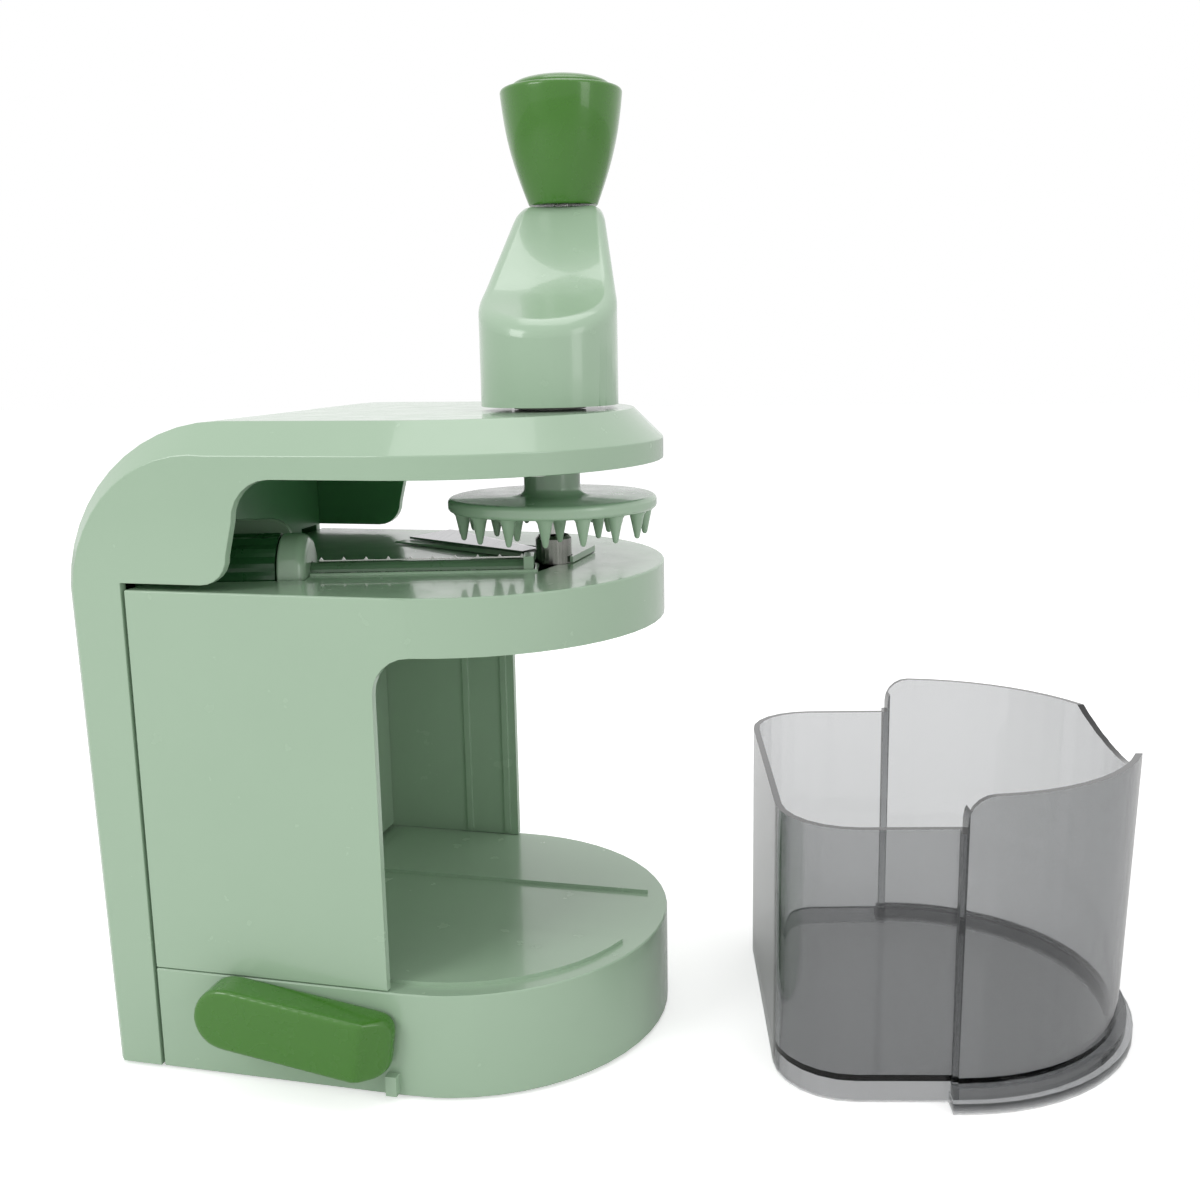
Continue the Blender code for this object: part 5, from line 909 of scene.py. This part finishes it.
def make_floor(stage):
    """A wide pale floor that keeps the object's shadow."""
    bm = bmesh.new()
    bmesh.ops.create_grid(bm, x_segments=8, y_segments=8, size=FLOOR_HALF)
    made, shader, where, add, link = new_material("pale floor")
    speck = noise(add, link, where, 6.0, detail=2.0)
    link(tinted(add, link, speck, (0.92, 0.92, 0.92), 0.004), shader.inputs["Base Color"])
    shader.inputs["Roughness"].default_value = 0.9
    shader.inputs["Specular IOR Level"].default_value = 0.1
    path = add("ShaderNodeLightPath")
    seen = add("ShaderNodeMath", operation="MAXIMUM")
    link(path.outputs["Is Camera Ray"], seen.inputs[0])
    link(path.outputs["Is Transmission Ray"], seen.inputs[1])
    lift = add("ShaderNodeMath", operation="MULTIPLY")
    link(seen.outputs[0], lift.inputs[0])
    lift.inputs[1].default_value = stage.floor_lift
    link(lift.outputs[0], shader.inputs["Emission Strength"])
    shader.inputs["Emission Color"].default_value = WHITE
    floor = place_object("floor", bm, made)


def make_sky(strength):
    """Even light from all round; the camera, gloss and clear plastic see plain white."""
    world = bpy.data.worlds.new("studio")
    bpy.context.scene.world = world
    world.use_nodes = True
    tree = world.node_tree
    background = tree.nodes["Background"]
    path = tree.nodes.new("ShaderNodeLightPath")
    seen = tree.nodes.new("ShaderNodeMath")
    seen.operation = "MAXIMUM"
    tree.links.new(path.outputs["Is Camera Ray"], seen.inputs[0])
    tree.links.new(path.outputs["Is Transmission Ray"], seen.inputs[1])
    both = tree.nodes.new("ShaderNodeMath")
    both.operation = "MAXIMUM"
    tree.links.new(seen.outputs[0], both.inputs[0])
    tree.links.new(path.outputs["Is Glossy Ray"], both.inputs[1])
    level = tree.nodes.new("ShaderNodeMapRange")
    level.inputs["To Min"].default_value = strength
    level.inputs["To Max"].default_value = 1.0
    tree.links.new(both.outputs[0], level.inputs["Value"])
    tree.links.new(level.outputs["Result"], background.inputs["Strength"])
    background.inputs["Color"].default_value = WHITE


class SPIRALIZER_OT_stage(bpy.types.Operator):
    """Set up the camera, the floor and the lights"""

    bl_idname = "spiralizer.stage"
    bl_label = "Studio"

    def execute(self, context):
        stage = context.scene.spiralizer_stage
        context.scene.view_settings.view_transform = "Standard"
        make_camera(stage)
        make_floor(stage)
        make_sky(stage.sky)
        for name, place, width, height, setting in SOFTBOXES:
            softbox(name, place, width, height, getattr(stage, setting))
        return {"FINISHED"}


class SPIRALIZER_PT_panel(bpy.types.Panel):
    """The spiralizer's settings and builders"""

    bl_label = "Spiralizer"
    bl_idname = "SPIRALIZER_PT_panel"
    bl_space_type = "VIEW_3D"
    bl_region_type = "UI"
    bl_category = "Spiralizer"

    def draw(self, context):
        layout = self.layout
        for settings in SETTINGS:
            group = getattr(context.scene, settings)
            column = layout.column()
            for key in group.__annotations__:
                column.prop(group, key)
        for operator in OPERATORS:
            layout.operator(operator.bl_idname)


SETTINGS = {
    "spiralizer_finish": FinishSettings,
    "spiralizer_shell": ShellSettings,
    "spiralizer_crank": CrankSettings,
    "spiralizer_stage": StageSettings,
}
OPERATORS = (
    SPIRALIZER_OT_finishes,
    SPIRALIZER_OT_hardware,
    SPIRALIZER_OT_shells,
    SPIRALIZER_OT_suction_lever,
    SPIRALIZER_OT_crank,
    SPIRALIZER_OT_crank_knob,
    SPIRALIZER_OT_food_holder,
    SPIRALIZER_OT_selector_collar,
    SPIRALIZER_OT_stage,
)


def register():
    """Register the settings, the operators and the panel."""
    for name, group in SETTINGS.items():
        bpy.utils.register_class(group)
        setattr(bpy.types.Scene, name, PointerProperty(type=group))
    for operator in OPERATORS:
        bpy.utils.register_class(operator)
    bpy.utils.register_class(SPIRALIZER_PT_panel)


def unregister():
    """Take everything back that register added."""
    bpy.utils.unregister_class(SPIRALIZER_PT_panel)
    for operator in reversed(OPERATORS):
        bpy.utils.unregister_class(operator)
    for name, group in SETTINGS.items():
        delattr(bpy.types.Scene, name)
        bpy.utils.unregister_class(group)


def main():
    """Build the dressed spiralizer step by step."""
    register()
    for operator in OPERATORS:
        group, name = operator.bl_idname.split(".")
        getattr(getattr(bpy.ops, group), name)()


if __name__ == "__main__":
    main()
